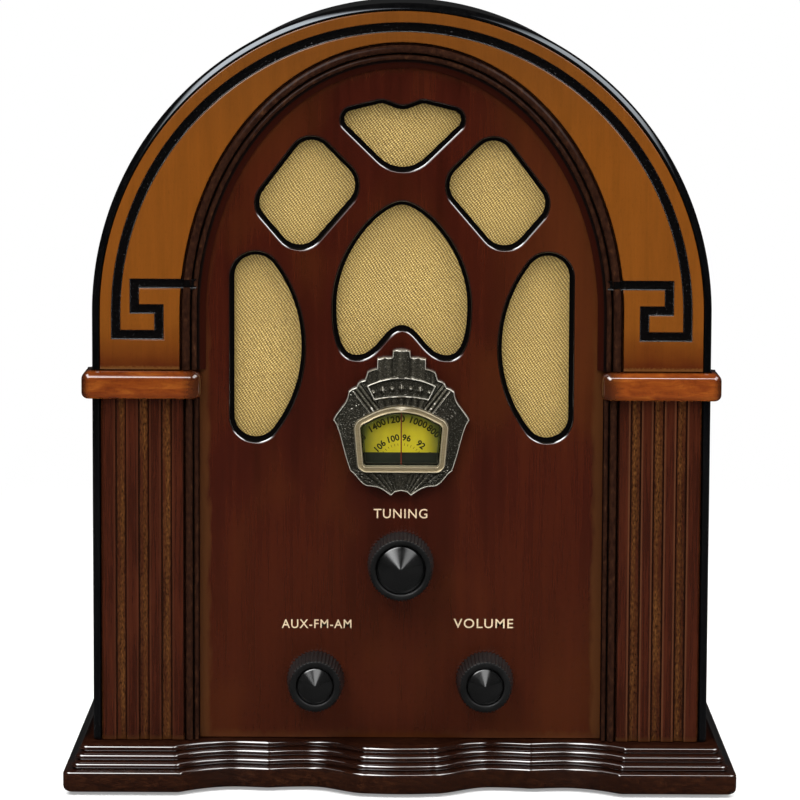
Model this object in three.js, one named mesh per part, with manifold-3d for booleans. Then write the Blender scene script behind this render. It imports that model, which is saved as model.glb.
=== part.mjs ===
// A table-top cathedral radio: an arched wooden cabinet on a reeded base, a fret-cut
// speaker grille, a backlit scale disc geared to the tuning knob, and three shaft controls.
//
// Units are millimetres, +Z is up and the front looks towards -Y. The pieces are drawn in
// the cabinet's frame: y = 0 is the front face of the pilasters, y grows into the cabinet,
// and z = 0 is the underside of the base. One group then places the cabinet on its feet
// with the origin under the middle of its bounding box.

import * as THREE from "three";
import { mergeVertices } from "three/addons/utils/BufferGeometryUtils.js";
import Module from "manifold-3d";

const wasm = await Module();
wasm.setup();

// ---------------------------------------------------------------- driving dimensions

const DEPTH = 184;              // centre block of the base to the back of the base
const FOOT_HEIGHT = 1.2;        // how far the rubber feet lift the base
const GAP = 0.3;                // clearance between separate pieces

const BASE_HALF_WIDTH = 127;
const BASE_HEIGHT = 18;
const SLAB_HEIGHT = 8.3;        // the plain lower part of the base
const BLOCK_REACH = 14;         // how far the centre block stands in front of the face
const BASE_BACK = DEPTH - BLOCK_REACH;
const CORNER_BLOCK_X = 82.5;    // turning points of the base's scalloped front edge
const CORNER_BLOCK_Y = -12;
const SCOOP_X = 62;
const SCOOP_Y = -1.4;
const RIDGE_X = 49.5;
const RIDGE_Y = -3.3;
const HOLLOW_X = 34.5;
const HOLLOW_Y = -1;
const CENTRE_BLOCK_X = 12.5;
const CENTRE_BLOCK_Y = -12.8;

const CABINET_RADIUS = 116.3;   // half the cabinet's width, and the radius of its top
const SPRING_Z = 180.5;         // height of the arch's centre
const WALL = 6;                 // thickness of the bent shell
const EDGE_ROUND = 2.8;         // rounded front edge of the shell
const SHELL_BACK = 168;

const FACE_THICKNESS = 5.7;     // arch face, pilasters and moldings
const PANEL_FRONT = 6;
const PANEL_BACK = 12;
const PANEL_RADIUS = CABINET_RADIUS - WALL - GAP;

const CAPITAL_BOTTOM = 148.6;
const CAPITAL_TOP = 159;
const CAPITAL_REACH = 5;        // how far a capital stands in front of the face
const CAPITAL_OUTER_X = 120;
const CAPITAL_INNER_X = 75;

const ARCH_INNER_X = 83;        // the arch face's inner edge is a half ellipse
const ARCH_INNER_Z = 101.3;
const LEG_MOLDING_X = 81.4;
const PILASTER_OUTER_X = CABINET_RADIUS - EDGE_ROUND - GAP;
const PILASTER_INNER_X = 81.7;
const FLUTE_RADIUS = 1.7;
const FLUTE_CENTRES = [88.3, 96.9, 105.5];

const SPEAKER_Z = 200;
const SPEAKER_RADIUS = 52;
const SPEAKER_FRONT = 13.6;
const SPEAKER_SCREWS = [[-23.5, 243], [23.5, 243], [-31.5, 162.5], [31.5, 162.5]];

const WINDOW_LIP = 0.8;         // how far the bezel overlaps the panel's dial opening
const DIAL_Z = 121;             // centre of the scale disc
const DIAL_RADIUS = 27;
const DIAL_FRONT = 12.4;
const TUNING_Z = 85.6;
const VOLUME_X = 32;
const VOLUME_Z = 41.3;

const SHAFT_RADIUS = 3;
const GEAR_FRONT = 15;
const GEAR_BACK = 18;
const PINION_TEETH = 16;        // module 1 gears, so a pitch radius is half the tooth count
const IDLER_TEETH = 14;
const DIAL_TEETH = 32;

const CHASSIS_FRONT = 19.5;
const SHEET = 1.2;              // chassis sheet metal
const BOARD_Z = BASE_HEIGHT + 9;
const COVER_FRONT = 163.5;
const COVER_BACK = 166.5;
const JACK_HALF_WIDTH = 27;     // opening in the rear cover
const JACK_BOTTOM = 38;
const JACK_TOP = 66;

// ---------------------------------------------------------------- materials

function finish(color, roughness, metalness = 0) {
  return new THREE.MeshStandardMaterial({ color, roughness, metalness });
}

const blackLacquer = finish("#17110f", 0.25);
const archStain = finish("#8a4a25", 0.4);
const panelStain = finish("#5b2b1f", 0.4);
const darkStain = finish("#3c1c14", 0.35);
const rawWood = finish("#a58a63", 0.8);
const cloth = finish("#b39a63", 0.9);
const pewter = finish("#4d473f", 0.5, 0.8);
const brass = finish("#b48a45", 0.35, 1);
const clearLens = finish("#e8efe0", 0.08);
const scaleYellow = finish("#d9d98a", 0.5);
const redPaint = finish("#b3221c", 0.5);
const blackPlastic = finish("#151515", 0.35);
const whitePlastic = finish("#d8d4c8", 0.5);
const rubber = finish("#1d1d1d", 0.9);
const steel = finish("#9a9a98", 0.4, 1);
const hardboard = finish("#4a3b2c", 0.9);
const paperCone = finish("#2b2826", 0.95);
const boardGreen = finish("#2d5a36", 0.6);
const copper = finish("#a5602f", 0.5, 0.6);
const ferrite = finish("#3a3a3c", 0.7);
const lampWhite = finish("#fff3c8", 0.3);

// ---------------------------------------------------------------- booleans

function toManifold(geometry) {
  const bare = geometry.clone();
  bare.deleteAttribute("normal");
  bare.deleteAttribute("uv");
  const merged = mergeVertices(bare, 1e-4);
  return new wasm.Manifold(new wasm.Mesh({
    numProp: 3,
    vertProperties: new Float32Array(merged.attributes.position.array),
    triVerts: new Uint32Array(merged.index.array),
  }));
}

function toGeometry(manifold) {
  const mesh = manifold.getMesh();
  const geometry = new THREE.BufferGeometry();
  geometry.setAttribute("position", new THREE.BufferAttribute(mesh.vertProperties, 3));
  geometry.setIndex(new THREE.BufferAttribute(mesh.triVerts, 1));
  geometry.computeVertexNormals();
  return geometry;
}

function combine(method, first, others) {
  const result = others.reduce((solid, other) => solid[method](toManifold(other)), toManifold(first));
  return toGeometry(result);
}

const cut = (first, ...others) => combine("subtract", first, others);
const join = (first, ...others) => combine("add", first, others);
const common = (first, ...others) => combine("intersect", first, others);

// ---------------------------------------------------------------- outlines

const at = (x, z) => new THREE.Vector2(x, z);
const mirrored = (points) => points.map((point) => at(-point.x, point.y)).reverse();
const radians = THREE.MathUtils.degToRad;

// Points on an ellipse between two angles, in degrees.
function arc(centreX, centreZ, radiusX, radiusZ, from, to, steps) {
  return Array.from({ length: steps + 1 }, (_, i) => {
    const angle = radians(from + (to - from) * i / steps);
    return at(centreX + radiusX * Math.cos(angle), centreZ + radiusZ * Math.sin(angle));
  });
}

function circle(x, z, radius, steps = 20) {
  return arc(x, z, radius, radius, 0, 360, steps).slice(0, steps);
}

// Points on a cubic curve, without its first point.
function curve(start, control1, control2, end, steps) {
  return new THREE.CubicBezierCurve(start, control1, control2, end).getPoints(steps).slice(1);
}

// A closed outline from corners [x, z, radius], each rounded by an arc of its radius.
function rounded(corners, steps = 5) {
  return corners.flatMap(([x, z, radius = 0], i) => {
    const corner = at(x, z);
    if (radius === 0) {
      return [corner];
    }
    const [beforeX, beforeZ] = corners.at(i - 1);
    const [afterX, afterZ] = corners[(i + 1) % corners.length];
    const toBefore = at(beforeX - x, beforeZ - z).normalize();
    const toAfter = at(afterX - x, afterZ - z).normalize();
    const half = Math.acos(toBefore.dot(toAfter)) / 2;
    const middle = toBefore.clone().add(toAfter).normalize();
    const centre = corner.clone().addScaledVector(middle, radius / Math.sin(half));
    const start = corner.clone().addScaledVector(toBefore, radius / Math.tan(half)).sub(centre);
    const turn = Math.sign(toAfter.cross(toBefore)) * (Math.PI - 2 * half);
    return Array.from({ length: steps + 1 }, (_, step) =>
      start.clone().rotateAround(at(0, 0), turn * step / steps).add(centre));
  });
}

// For each point, the left-hand normal of the line through it, stretched for a mitre.
function mitres(points, closed) {
  const last = points.length - 1;
  return points.map((point, i) => {
    const before = i > 0 ? points[i - 1] : closed && points[last];
    const after = i < last ? points[i + 1] : closed && points[0];
    const arriving = (before ? point.clone().sub(before) : after.clone().sub(point)).normalize();
    const leaving = after ? after.clone().sub(point).normalize() : arriving.clone();
    const along = arriving.clone().add(leaving).normalize();
    const normal = at(-along.y, along.x);
    return normal.divideScalar(normal.dot(at(-arriving.y, arriving.x)));
  });
}

function offset(points, distance, closed = true) {
  const normals = mitres(points, closed);
  return points.map((point, i) => point.clone().addScaledVector(normals[i], distance));
}

// The outline of a band of constant width along an open line.
function ribbon(points, width) {
  return [...offset(points, -width / 2, false), ...offset(points, width / 2, false).reverse()];
}

// ---------------------------------------------------------------- solids

function extruded(outline, holes, depth) {
  const clockwise = THREE.ShapeUtils.isClockWise(outline);
  const shape = new THREE.Shape(clockwise ? outline.toReversed() : outline);
  shape.holes = holes.map((hole) => new THREE.Path(hole));
  return new THREE.ExtrudeGeometry(shape, { depth, bevelEnabled: false, steps: 1 });
}

// A flat piece whose outline is in X and Z, between two depths.
function plate(outline, front, back, holes = []) {
  return extruded(outline, holes, back - front).rotateX(Math.PI / 2).translate(0, back, 0);
}

// A piece whose plan is in X and Y, between two heights.
function column(plan, bottom, top, holes = []) {
  return extruded(plan, holes, top - bottom).translate(0, 0, bottom);
}

// A piece whose section is in Y and Z, between two places across the cabinet.
function beam(section, left, right) {
  return extruded(section, [], right - left).rotateX(Math.PI / 2).rotateZ(Math.PI / 2).translate(left, 0, 0);
}

function box(left, right, front, back, bottom, top) {
  return new THREE.BoxGeometry(right - left, back - front, top - bottom)
    .translate((left + right) / 2, (front + back) / 2, (bottom + top) / 2);
}

// A turned piece about the Y axis; its profile is a closed list of [radius, y].
function turned(profile, segments = 24) {
  const points = profile.map(([radius, y]) => at(radius, y));
  if (profile[0][0] > 0 || profile.at(-1)[0] > 0) {
    points.push(points[0].clone());
  }
  return facingOut(new THREE.LatheGeometry(points, segments));
}

function rod(radius, front, back, segments = 20) {
  return turned([[0, front], [radius, front], [radius, back], [0, back]], segments);
}

// Turns every face over if the volume comes out negative.
function facingOut(geometry) {
  const position = geometry.attributes.position;
  const index = geometry.index.array;
  const corner = (i) => new THREE.Vector3().fromBufferAttribute(position, index[i]);
  let volume = 0;
  for (let i = 0; i < index.length; i += 3) {
    volume += corner(i).dot(corner(i + 1).cross(corner(i + 2)));
  }
  if (volume < 0) {
    for (let i = 0; i < index.length; i += 3) {
      [index[i], index[i + 1]] = [index[i + 1], index[i]];
    }
  }
  return geometry;
}

function indexed(positions, index) {
  const geometry = new THREE.BufferGeometry();
  geometry.setAttribute("position", new THREE.Float32BufferAttribute(positions, 3));
  geometry.setIndex(index);
  return facingOut(geometry);
}

// Triangles that fill an outline, wound the same way as the outline.
function capFaces(outline) {
  const faces = THREE.ShapeUtils.triangulateShape(outline, []);
  const turnsLikeOutline = THREE.ShapeUtils.isClockWise(faces[0].map((i) => outline[i]))
    === THREE.ShapeUtils.isClockWise(outline);
  return turnsLikeOutline ? faces : faces.map(([a, b, c]) => [a, c, b]);
}

// A molding whose section [offset, y] follows a line in X and Z.
function moldingAlong(path, section) {
  const normals = mitres(path, false);
  const positions = path.flatMap((point, i) => section.flatMap(([side, y]) =>
    [point.x + normals[i].x * side, y, point.y + normals[i].y * side]));
  const count = section.length;
  const end = (path.length - 1) * count;
  const index = [];
  for (let start = 0; start < end; start += count) {
    for (let j = 0; j < count; j += 1) {
      const a = start + j;
      const b = start + (j + 1) % count;
      index.push(b, a, a + count, b, a + count, b + count);
    }
  }
  const contour = section.map(([side, y]) => at(side, y));
  for (const [a, b, c] of capFaces(contour)) {
    index.push(a, b, c, end + a, end + c, end + b);
  }
  return indexed(positions, index);
}

// A slab whose plan changes with height. Each level is [inset, z], from the bottom up, and
// ringAt(inset) gives that level's plan, which can be seen whole from the point (0, middleY).
function stepped(ringAt, levels, middleY) {
  const rings = levels.map(([inset]) => ringAt(inset));
  const count = rings[0].length;
  const positions = rings.flatMap((ring, i) => ring.flatMap((point) => [point.x, point.y, levels[i][1]]));
  const top = (levels.length - 1) * count;
  const bottomMiddle = levels.length * count;
  const topMiddle = bottomMiddle + 1;
  positions.push(0, middleY, levels[0][1], 0, middleY, levels.at(-1)[1]);
  const index = [];
  for (let j = 0; j < count; j += 1) {
    const next = (j + 1) % count;
    index.push(bottomMiddle, next, j, topMiddle, top + j, top + next);
    for (let start = 0; start < top; start += count) {
      const a = start + j;
      const b = start + next;
      index.push(a, b, b + count, a, b + count, a + count);
    }
  }
  return indexed(positions, index);
}

function add(group, name, geometry, material) {
  const mesh = new THREE.Mesh(geometry, material);
  mesh.name = name;
  group.add(mesh);
  return mesh;
}

function groupAt(parent, x, y, z) {
  const group = new THREE.Group();
  group.position.set(x, y, z);
  parent.add(group);
  return group;
}

// ---------------------------------------------------------------- base and feet

// How deep the front edge lies at a place across the base: corner blocks, a scoop, a low
// ridge, a hollow, and a centre block that stands furthest forward.
function frontEdge(x) {
  const across = Math.abs(x);
  if (across >= CORNER_BLOCK_X) {
    return CORNER_BLOCK_Y;
  }
  if (across >= SCOOP_X) {
    const along = (CORNER_BLOCK_X - across) / (CORNER_BLOCK_X - SCOOP_X);
    return CORNER_BLOCK_Y + (SCOOP_Y - CORNER_BLOCK_Y) * Math.sin(along * Math.PI / 2) ** 0.9;
  }
  if (across >= RIDGE_X) {
    return SCOOP_Y + (RIDGE_Y - SCOOP_Y) * ((SCOOP_X - across) / (SCOOP_X - RIDGE_X)) ** 1.3;
  }
  if (across >= HOLLOW_X) {
    return HOLLOW_Y + (RIDGE_Y - HOLLOW_Y) * ((across - HOLLOW_X) / (RIDGE_X - HOLLOW_X)) ** 2;
  }
  if (across >= CENTRE_BLOCK_X) {
    const along = (HOLLOW_X - across) / (HOLLOW_X - CENTRE_BLOCK_X);
    return HOLLOW_Y + (CENTRE_BLOCK_Y - HOLLOW_Y) * (1 - Math.cos(along * Math.PI)) / 2;
  }
  return -BLOCK_REACH + (CENTRE_BLOCK_Y + BLOCK_REACH) * (across / CENTRE_BLOCK_X) ** 2;
}

// The front edge moved back by a routed step, as a round cutter of that radius leaves it.
function insetEdge(x, inset) {
  const reaches = Array.from({ length: 17 }, (_, i) => inset * (i - 8) / 8);
  return Math.max(...reaches.map((reach) => frontEdge(x + reach) + Math.sqrt(inset ** 2 - reach ** 2)));
}

function baseRing(inset, back) {
  const corner = 2.5;
  const side = BASE_HALF_WIDTH - inset;
  const cornerY = CORNER_BLOCK_Y + inset + corner;
  const places = [
    82.5, 79, 75, 71, 66.5, 62, 57, 53, 49.5, 46, 41.5, 34.5, 31, 27.5, 24.5, 22, 19.5, 16.5, 12.5, 7,
  ];
  const across = [...places.map((x) => -x), 0, ...places.toReversed()];
  return [
    ...arc(-side + corner, cornerY, corner, corner, 180, 270, 4),
    ...across.map((x) => at(x, insetEdge(x, inset))),
    ...arc(side - corner, cornerY, corner, corner, 270, 360, 4),
    at(side, back),
    at(-side, back),
  ];
}

// A plain slab, then three half-round reeds, each set further in than the one below.
function basePlinth() {
  const reeds = 3;
  const landing = 0.4;
  const reedRadius = (BASE_HEIGHT - landing - SLAB_HEIGHT) / (2 * reeds);
  const firstInset = 3;
  const insetStep = 1.5;
  const levels = [[0, 0], [0, SLAB_HEIGHT]];
  for (let reed = 0; reed < reeds; reed += 1) {
    const centre = SLAB_HEIGHT + reedRadius * (2 * reed + 1);
    for (const angle of [-90, -32, 32, 90].map(radians)) {
      const inset = firstInset + insetStep * reed + reedRadius * (1 - Math.cos(angle));
      levels.push([inset, centre + reedRadius * Math.sin(angle)]);
    }
  }
  const ledgeInset = 8;
  levels.push([ledgeInset, BASE_HEIGHT - landing], [ledgeInset, BASE_HEIGHT]);
  const spare = 15;
  const longSlab = stepped((inset) => baseRing(inset, BASE_BACK + spare), levels, BASE_BACK / 2);
  return cut(longSlab, box(-140, 140, BASE_BACK, BASE_BACK + 2 * spare, -5, 30));
}

function addBase(radio) {
  add(radio, "base_plinth", basePlinth(), blackLacquer);
  const footRadius = 8;
  const names = ["front_left", "front_right", "rear_left", "rear_right"];
  const places = [[-108, 12], [108, 12], [-108, 150], [108, 150]];
  names.forEach((name, i) => {
    const foot = new THREE.CylinderGeometry(footRadius, footRadius - 1, FOOT_HEIGHT, 20)
      .rotateX(Math.PI / 2);
    add(radio, `foot_${name}`, foot, rubber).position.set(...places[i], -FOOT_HEIGHT / 2);
  });
}

// ---------------------------------------------------------------- cabinet shell and face

// Up the left side, over the top and down the right side.
function archLine(radiusX, radiusZ, bottom, steps) {
  return [at(-radiusX, bottom), ...arc(0, SPRING_Z, radiusX, radiusZ, 180, 0, steps), at(radiusX, bottom)];
}

function cabinetShell() {
  const ledge = PANEL_FRONT + 0.2;
  const section = [
    [0, SHELL_BACK],
    ...arc(-EDGE_ROUND, EDGE_ROUND, EDGE_ROUND, EDGE_ROUND, 0, -90, 4).map((point) => [point.x, point.y]),
    [-EDGE_ROUND, ledge],
    [-WALL, ledge],
    [-WALL, SHELL_BACK],
  ];
  return moldingAlong(archLine(CABINET_RADIUS, CABINET_RADIUS, BASE_HEIGHT + GAP, 40), section);
}

// The grooved line: over the arch, then a squared key at each end.
function grooveLine() {
  const grooveRadius = 107.2;
  const [low, middle, high] = [172.5, 182.2, 191.8];
  const leftKey = [
    at(-70, high), at(-100.2, high), at(-100.2, middle), at(-91, middle), at(-91, low),
    at(-grooveRadius, low),
  ];
  const over = arc(0, SPRING_Z, grooveRadius, grooveRadius, 180, 0, 36);
  return [...leftKey, ...over, ...mirrored(leftKey)];
}

function archFace() {
  const bottom = CAPITAL_TOP + GAP;
  const outer = archLine(PILASTER_OUTER_X, PILASTER_OUTER_X, bottom, 36);
  const inner = archLine(ARCH_INNER_X + GAP, ARCH_INNER_Z + GAP, bottom, 32);
  const ring = plate([...outer, ...inner.reverse()], 0, FACE_THICKNESS);
  const grooveWidth = 3;
  const grooveDepth = 0.9;
  return cut(ring, plate(ribbon(grooveLine(), grooveWidth), -1, grooveDepth));
}

// Half-round bead in a molding's section, centred at an offset from the molding's edge.
function bead(centre, radius, y) {
  return arc(centre, y, radius, radius, 0, -180, 4).map((point) => [point.x, point.y]);
}

function archMolding() {
  const section = [
    [0, FACE_THICKNESS], [0, 0.8],
    ...bead(-2.2, 1.5, 0.7),
    ...bead(-5.6, 0.9, 1.4),
    [-7.2, 2.2], [-7.6, 4], [-9.3, 5.2], [-9.3, FACE_THICKNESS],
  ];
  return moldingAlong(archLine(ARCH_INNER_X, ARCH_INNER_Z, CAPITAL_TOP + GAP, 32), section);
}

function legMolding(side) {
  const section = [
    [0, FACE_THICKNESS], [0, 1.2],
    ...bead(-1.6, 1.3, 1),
    ...bead(-4.4, 0.8, 1.6),
    [-5.4, 2.2], [-5.4, FACE_THICKNESS],
  ].map(([inwards, y]) => [-side * inwards, y]);
  const line = [at(side * LEG_MOLDING_X, BASE_HEIGHT + GAP), at(side * LEG_MOLDING_X, CAPITAL_BOTTOM - GAP)];
  return moldingAlong(line, section);
}

function pilaster(side) {
  const fluted = FLUTE_CENTRES.flatMap((centre) => arc(centre, 0, FLUTE_RADIUS, FLUTE_RADIUS, 180, 0, 4));
  const plan = [
    at(PILASTER_INNER_X, 0), ...fluted, at(PILASTER_OUTER_X, 0),
    at(PILASTER_OUTER_X, FACE_THICKNESS), at(PILASTER_INNER_X, FACE_THICKNESS),
  ];
  return column(side > 0 ? plan : mirrored(plan), BASE_HEIGHT + GAP, CAPITAL_BOTTOM - GAP);
}

// A rounded bar that also wraps round the cabinet's side and back to the panel.
function capital(side) {
  const outer = CAPITAL_OUTER_X;
  const inner = CAPITAL_INNER_X;
  const front = -CAPITAL_REACH;
  const lip = PILASTER_OUTER_X;
  const wall = CABINET_RADIUS + GAP;
  const returnDepth = 14;
  const plan = rounded([
    [outer, front, 3], [inner, front, 4], [inner, FACE_THICKNESS], [lip, FACE_THICKNESS],
    [lip, -GAP], [wall, -GAP], [wall, returnDepth], [outer, returnDepth, 1.5],
  ], 4);
  const bar = column(side > 0 ? plan : mirrored(plan), CAPITAL_BOTTOM, CAPITAL_TOP);
  const sideView = rounded([
    [front, CAPITAL_BOTTOM, 2.6], [20, CAPITAL_BOTTOM], [20, CAPITAL_TOP], [front, CAPITAL_TOP, 3.4],
  ]);
  const frontView = rounded([
    [outer, CAPITAL_BOTTOM, 2.2], [outer, CAPITAL_TOP, 2.8], [inner, CAPITAL_TOP, 1.5],
    [inner, CAPITAL_BOTTOM, 1.5],
  ]);
  const frontPlate = plate(side > 0 ? frontView : mirrored(frontView), front - 1, 20);
  return common(bar, beam(sideView, -130, 130), frontPlate);
}

// ---------------------------------------------------------------- baffle, grille and cloth

function topOpening() {
  return rounded([
    [0, 258.4, 6], [-7.5, 261.2, 6], [-29, 256, 5.2], [0, 227.8, 14], [29, 256, 5.2], [7.5, 261.2, 6],
  ]);
}

function diamondOpening() {
  return rounded([[-35, 251, 8.5], [-57.5, 221.5, 8.5], [-38.5, 199.5, 9.5], [-13, 229, 9.5]]);
}

// Straight on its outer side and bulging towards the middle, with both tips rounded.
function bulgeOpening() {
  const straightX = -64.5;
  const bulgeX = -89.2;
  const bulgeZ = 167.5;
  const bulgeRadius = 52.7;
  const tipRadius = 9.5;
  const tipX = straightX + tipRadius;
  const tipRise = Math.sqrt((bulgeRadius - tipRadius) ** 2 - (tipX - bulgeX) ** 2);
  const lean = THREE.MathUtils.radToDeg(Math.atan2(tipRise, tipX - bulgeX));
  return [
    ...arc(tipX, bulgeZ + tipRise, tipRadius, tipRadius, 180, lean, 6),
    ...arc(bulgeX, bulgeZ, bulgeRadius, bulgeRadius, lean, -lean, 8).slice(1, -1),
    ...arc(tipX, bulgeZ - tipRise, tipRadius, tipRadius, -lean, -180, 6),
  ];
}

function centreOpening() {
  const top = at(0, 223);
  const waist = at(-26.6, 183);
  const foot = at(-17, 162.2);
  const notch = at(0, 174.2);
  const left = [
    top,
    ...curve(top, at(-9, 223), at(-26.6, 204.5), waist, 8),
    ...curve(waist, at(-26.6, 170), at(-24, 162.2), foot, 6),
    ...curve(foot, at(-8, 162.2), at(-7.5, 168.5), notch, 6),
  ];
  return [...left, ...mirrored(left).slice(1, -1)];
}

// The dial window's outer outline, drawn in by an inset.
function windowOutline(inset) {
  const outer = rounded([
    [-15.4, 120.5, 3], [15.4, 120.5, 3], [18, 139.8, 4], [10.5, 145.7, 9], [-10.5, 145.7, 9], [-18, 139.8, 4],
  ], 3);
  return offset(outer, inset);
}

function bafflePanel() {
  const openings = [
    topOpening(), diamondOpening(), mirrored(diamondOpening()),
    bulgeOpening(), mirrored(bulgeOpening()), centreOpening(), windowOutline(WINDOW_LIP),
    circle(0, TUNING_Z, 4.9), circle(VOLUME_X, VOLUME_Z, 3.9), circle(-VOLUME_X, VOLUME_Z, 3.9),
  ];
  const panel = plate(
    archLine(PANEL_RADIUS, PANEL_RADIUS, BASE_HEIGHT + GAP, 36), PANEL_FRONT, PANEL_BACK, openings);
  const screwHoles = SPEAKER_SCREWS.map(([x, z]) =>
    plate(circle(x, z, 1.7, 12), PANEL_BACK - 3.5, PANEL_BACK + 1));
  return cut(panel, ...screwHoles);
}

// Glued behind the panel, with a notch that clears the scale disc.
function grilleCloth() {
  const bottom = 126;
  const notchX = DIAL_RADIUS + 1.5;
  const notchTop = DIAL_Z + DIAL_RADIUS + 1.5;
  const outline = [
    ...arc(0, 196, 71, 71, 180, 0, 20), at(71, bottom), at(notchX, bottom), at(notchX, notchTop),
    at(-notchX, notchTop), at(-notchX, bottom), at(-71, bottom),
  ];
  const holes = SPEAKER_SCREWS.map(([x, z]) => circle(x, z, 1.9, 12));
  return plate(outline, PANEL_BACK + GAP, PANEL_BACK + 1, holes);
}

// ---------------------------------------------------------------- escutcheon and dial window

function escutcheonOutline() {
  const shoulder = at(20.2, 149.6);
  const tip = at(25.7, 140.4);
  const lowerTip = at(19.2, 121);
  const right = [
    at(0, 167.3), at(3.3, 166.5), at(3.5, 164.2), at(9.2, 163.6), at(9.2, 159.9), at(12.8, 158.6),
    at(13.8, 155.5), at(16.4, 154.2), at(18.2, 152), at(19.9, 151.2), shoulder,
    ...curve(shoulder, at(20.6, 146.5), at(24, 144), tip, 4),
    ...curve(tip, at(23, 137), at(22.5, 130), lowerTip, 4),
    ...curve(lowerTip, at(17, 120), at(15.5, 115.5), at(12.3, 115.2), 3),
    ...curve(at(12.3, 115.2), at(8.5, 115.2), at(7, 114), at(3.8, 111.6), 3),
    at(0, 113.5),
  ];
  return [...right, ...mirrored(right).slice(1, -1)].reverse();
}

function addDialWindow(radio) {
  const front = 2;
  const bezelWidth = 2.3;
  const opening = windowOutline(-GAP);
  add(radio, "escutcheon", plate(escutcheonOutline(), front, FACE_THICKNESS, [opening]), pewter);
  add(radio, "dial_bezel",
    plate(windowOutline(0), front - 1.2, FACE_THICKNESS, [windowOutline(bezelWidth)]), brass);
  add(radio, "dial_lens", plate(windowOutline(bezelWidth + GAP), 3.6, 4.6), clearLens);
  add(radio, "dial_pointer", box(-0.25, 0.25, 4.9, 5.3, 123.3, 143), redPaint);
  const maskTop = 127.4;
  const maskStrip = common(
    plate(windowOutline(WINDOW_LIP + GAP), 8, 8.8), box(-20, 20, 7, 10, 110, maskTop));
  add(radio, "dial_mask", maskStrip, blackPlastic);
}

// ---------------------------------------------------------------- gears

const pitchRadius = (teeth) => teeth / 2;

// Straight-sided teeth, slimmer than their gaps; the phase is the angle of one tooth.
function gearOutline(teeth, phase) {
  const step = 2 * Math.PI / teeth;
  const root = pitchRadius(teeth) - 1.2;
  const tip = pitchRadius(teeth) + 0.8;
  const flank = [[root, -0.3], [tip, -0.11], [tip, 0.11], [root, 0.3]];
  return Array.from({ length: teeth }, (_, tooth) => flank.map(([radius, place]) => {
    const angle = phase + step * (tooth + place);
    return at(radius * Math.cos(angle), radius * Math.sin(angle));
  })).flat();
}

// The phase that puts a gap of the second gear round the first gear's tooth.
function meshedPhase(phase, teeth, otherTeeth, direction) {
  const step = 2 * Math.PI / teeth;
  const nearest = phase + Math.round((direction - phase) / step) * step;
  const travel = (nearest - direction) * teeth / otherTeeth;
  return direction + Math.PI - travel + Math.PI / otherTeeth;
}

// Where the idler sits so that it touches both the pinion and the dial gear.
function gearLayout() {
  const drop = DIAL_Z - TUNING_Z;
  const toPinion = pitchRadius(PINION_TEETH) + pitchRadius(IDLER_TEETH);
  const toDial = pitchRadius(DIAL_TEETH) + pitchRadius(IDLER_TEETH);
  const lean = Math.acos((drop ** 2 + toPinion ** 2 - toDial ** 2) / (2 * drop * toPinion));
  const idler = at(-toPinion * Math.sin(lean), TUNING_Z + toPinion * Math.cos(lean));
  const fromPinion = Math.atan2(idler.y - TUNING_Z, idler.x);
  const toDialCentre = Math.atan2(DIAL_Z - idler.y, -idler.x);
  const idlerPhase = meshedPhase(fromPinion, PINION_TEETH, IDLER_TEETH, fromPinion);
  const dialPhase = meshedPhase(idlerPhase, IDLER_TEETH, DIAL_TEETH, toDialCentre);
  return { idler, pinionPhase: fromPinion, idlerPhase, dialPhase };
}

const gears = gearLayout();

function addDialDrive(radio) {
  const dial = groupAt(radio, 0, 0, DIAL_Z);
  const discBack = DIAL_FRONT + 1.6;
  add(dial, "dial_disc",
    plate(circle(0, 0, DIAL_RADIUS, 48), DIAL_FRONT, discBack, [circle(0, 0, 2.4)]), scaleYellow);
  const dialWheel = plate(gearOutline(DIAL_TEETH, gears.dialPhase), GEAR_FRONT, GEAR_BACK);
  const hub = turned([
    [0, DIAL_FRONT], [2.1, DIAL_FRONT], [2.1, discBack + GAP], [6, discBack + GAP], [6, GEAR_BACK + 0.8],
    [SHAFT_RADIUS, GEAR_BACK + 0.8], [SHAFT_RADIUS, 30], [0, 30],
  ], 24);
  add(dial, "dial_gear", join(dialWheel, hub), whitePlastic);

  const idler = groupAt(radio, gears.idler.x, 0, gears.idler.y);
  add(idler, "idler_gear",
    plate(gearOutline(IDLER_TEETH, gears.idlerPhase), GEAR_FRONT, GEAR_BACK, [circle(0, 0, 2.3)]),
    whitePlastic);

  const tuning = groupAt(radio, 0, 0, TUNING_Z);
  const pinion = plate(gearOutline(PINION_TEETH, gears.pinionPhase), GEAR_FRONT, GEAR_BACK);
  add(tuning, "tuning_shaft", join(pinion, rod(SHAFT_RADIUS, -8.5, 23)), brass);
  add(tuning, "tuning_bushing", turned([
    [SHAFT_RADIUS + GAP, 4.6], [4.6, 4.6], [4.6, PANEL_BACK + GAP], [6.8, PANEL_BACK + GAP],
    [6.8, 14], [SHAFT_RADIUS + GAP, 14],
  ], 24), brass);
}

// ---------------------------------------------------------------- knobs and controls

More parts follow.
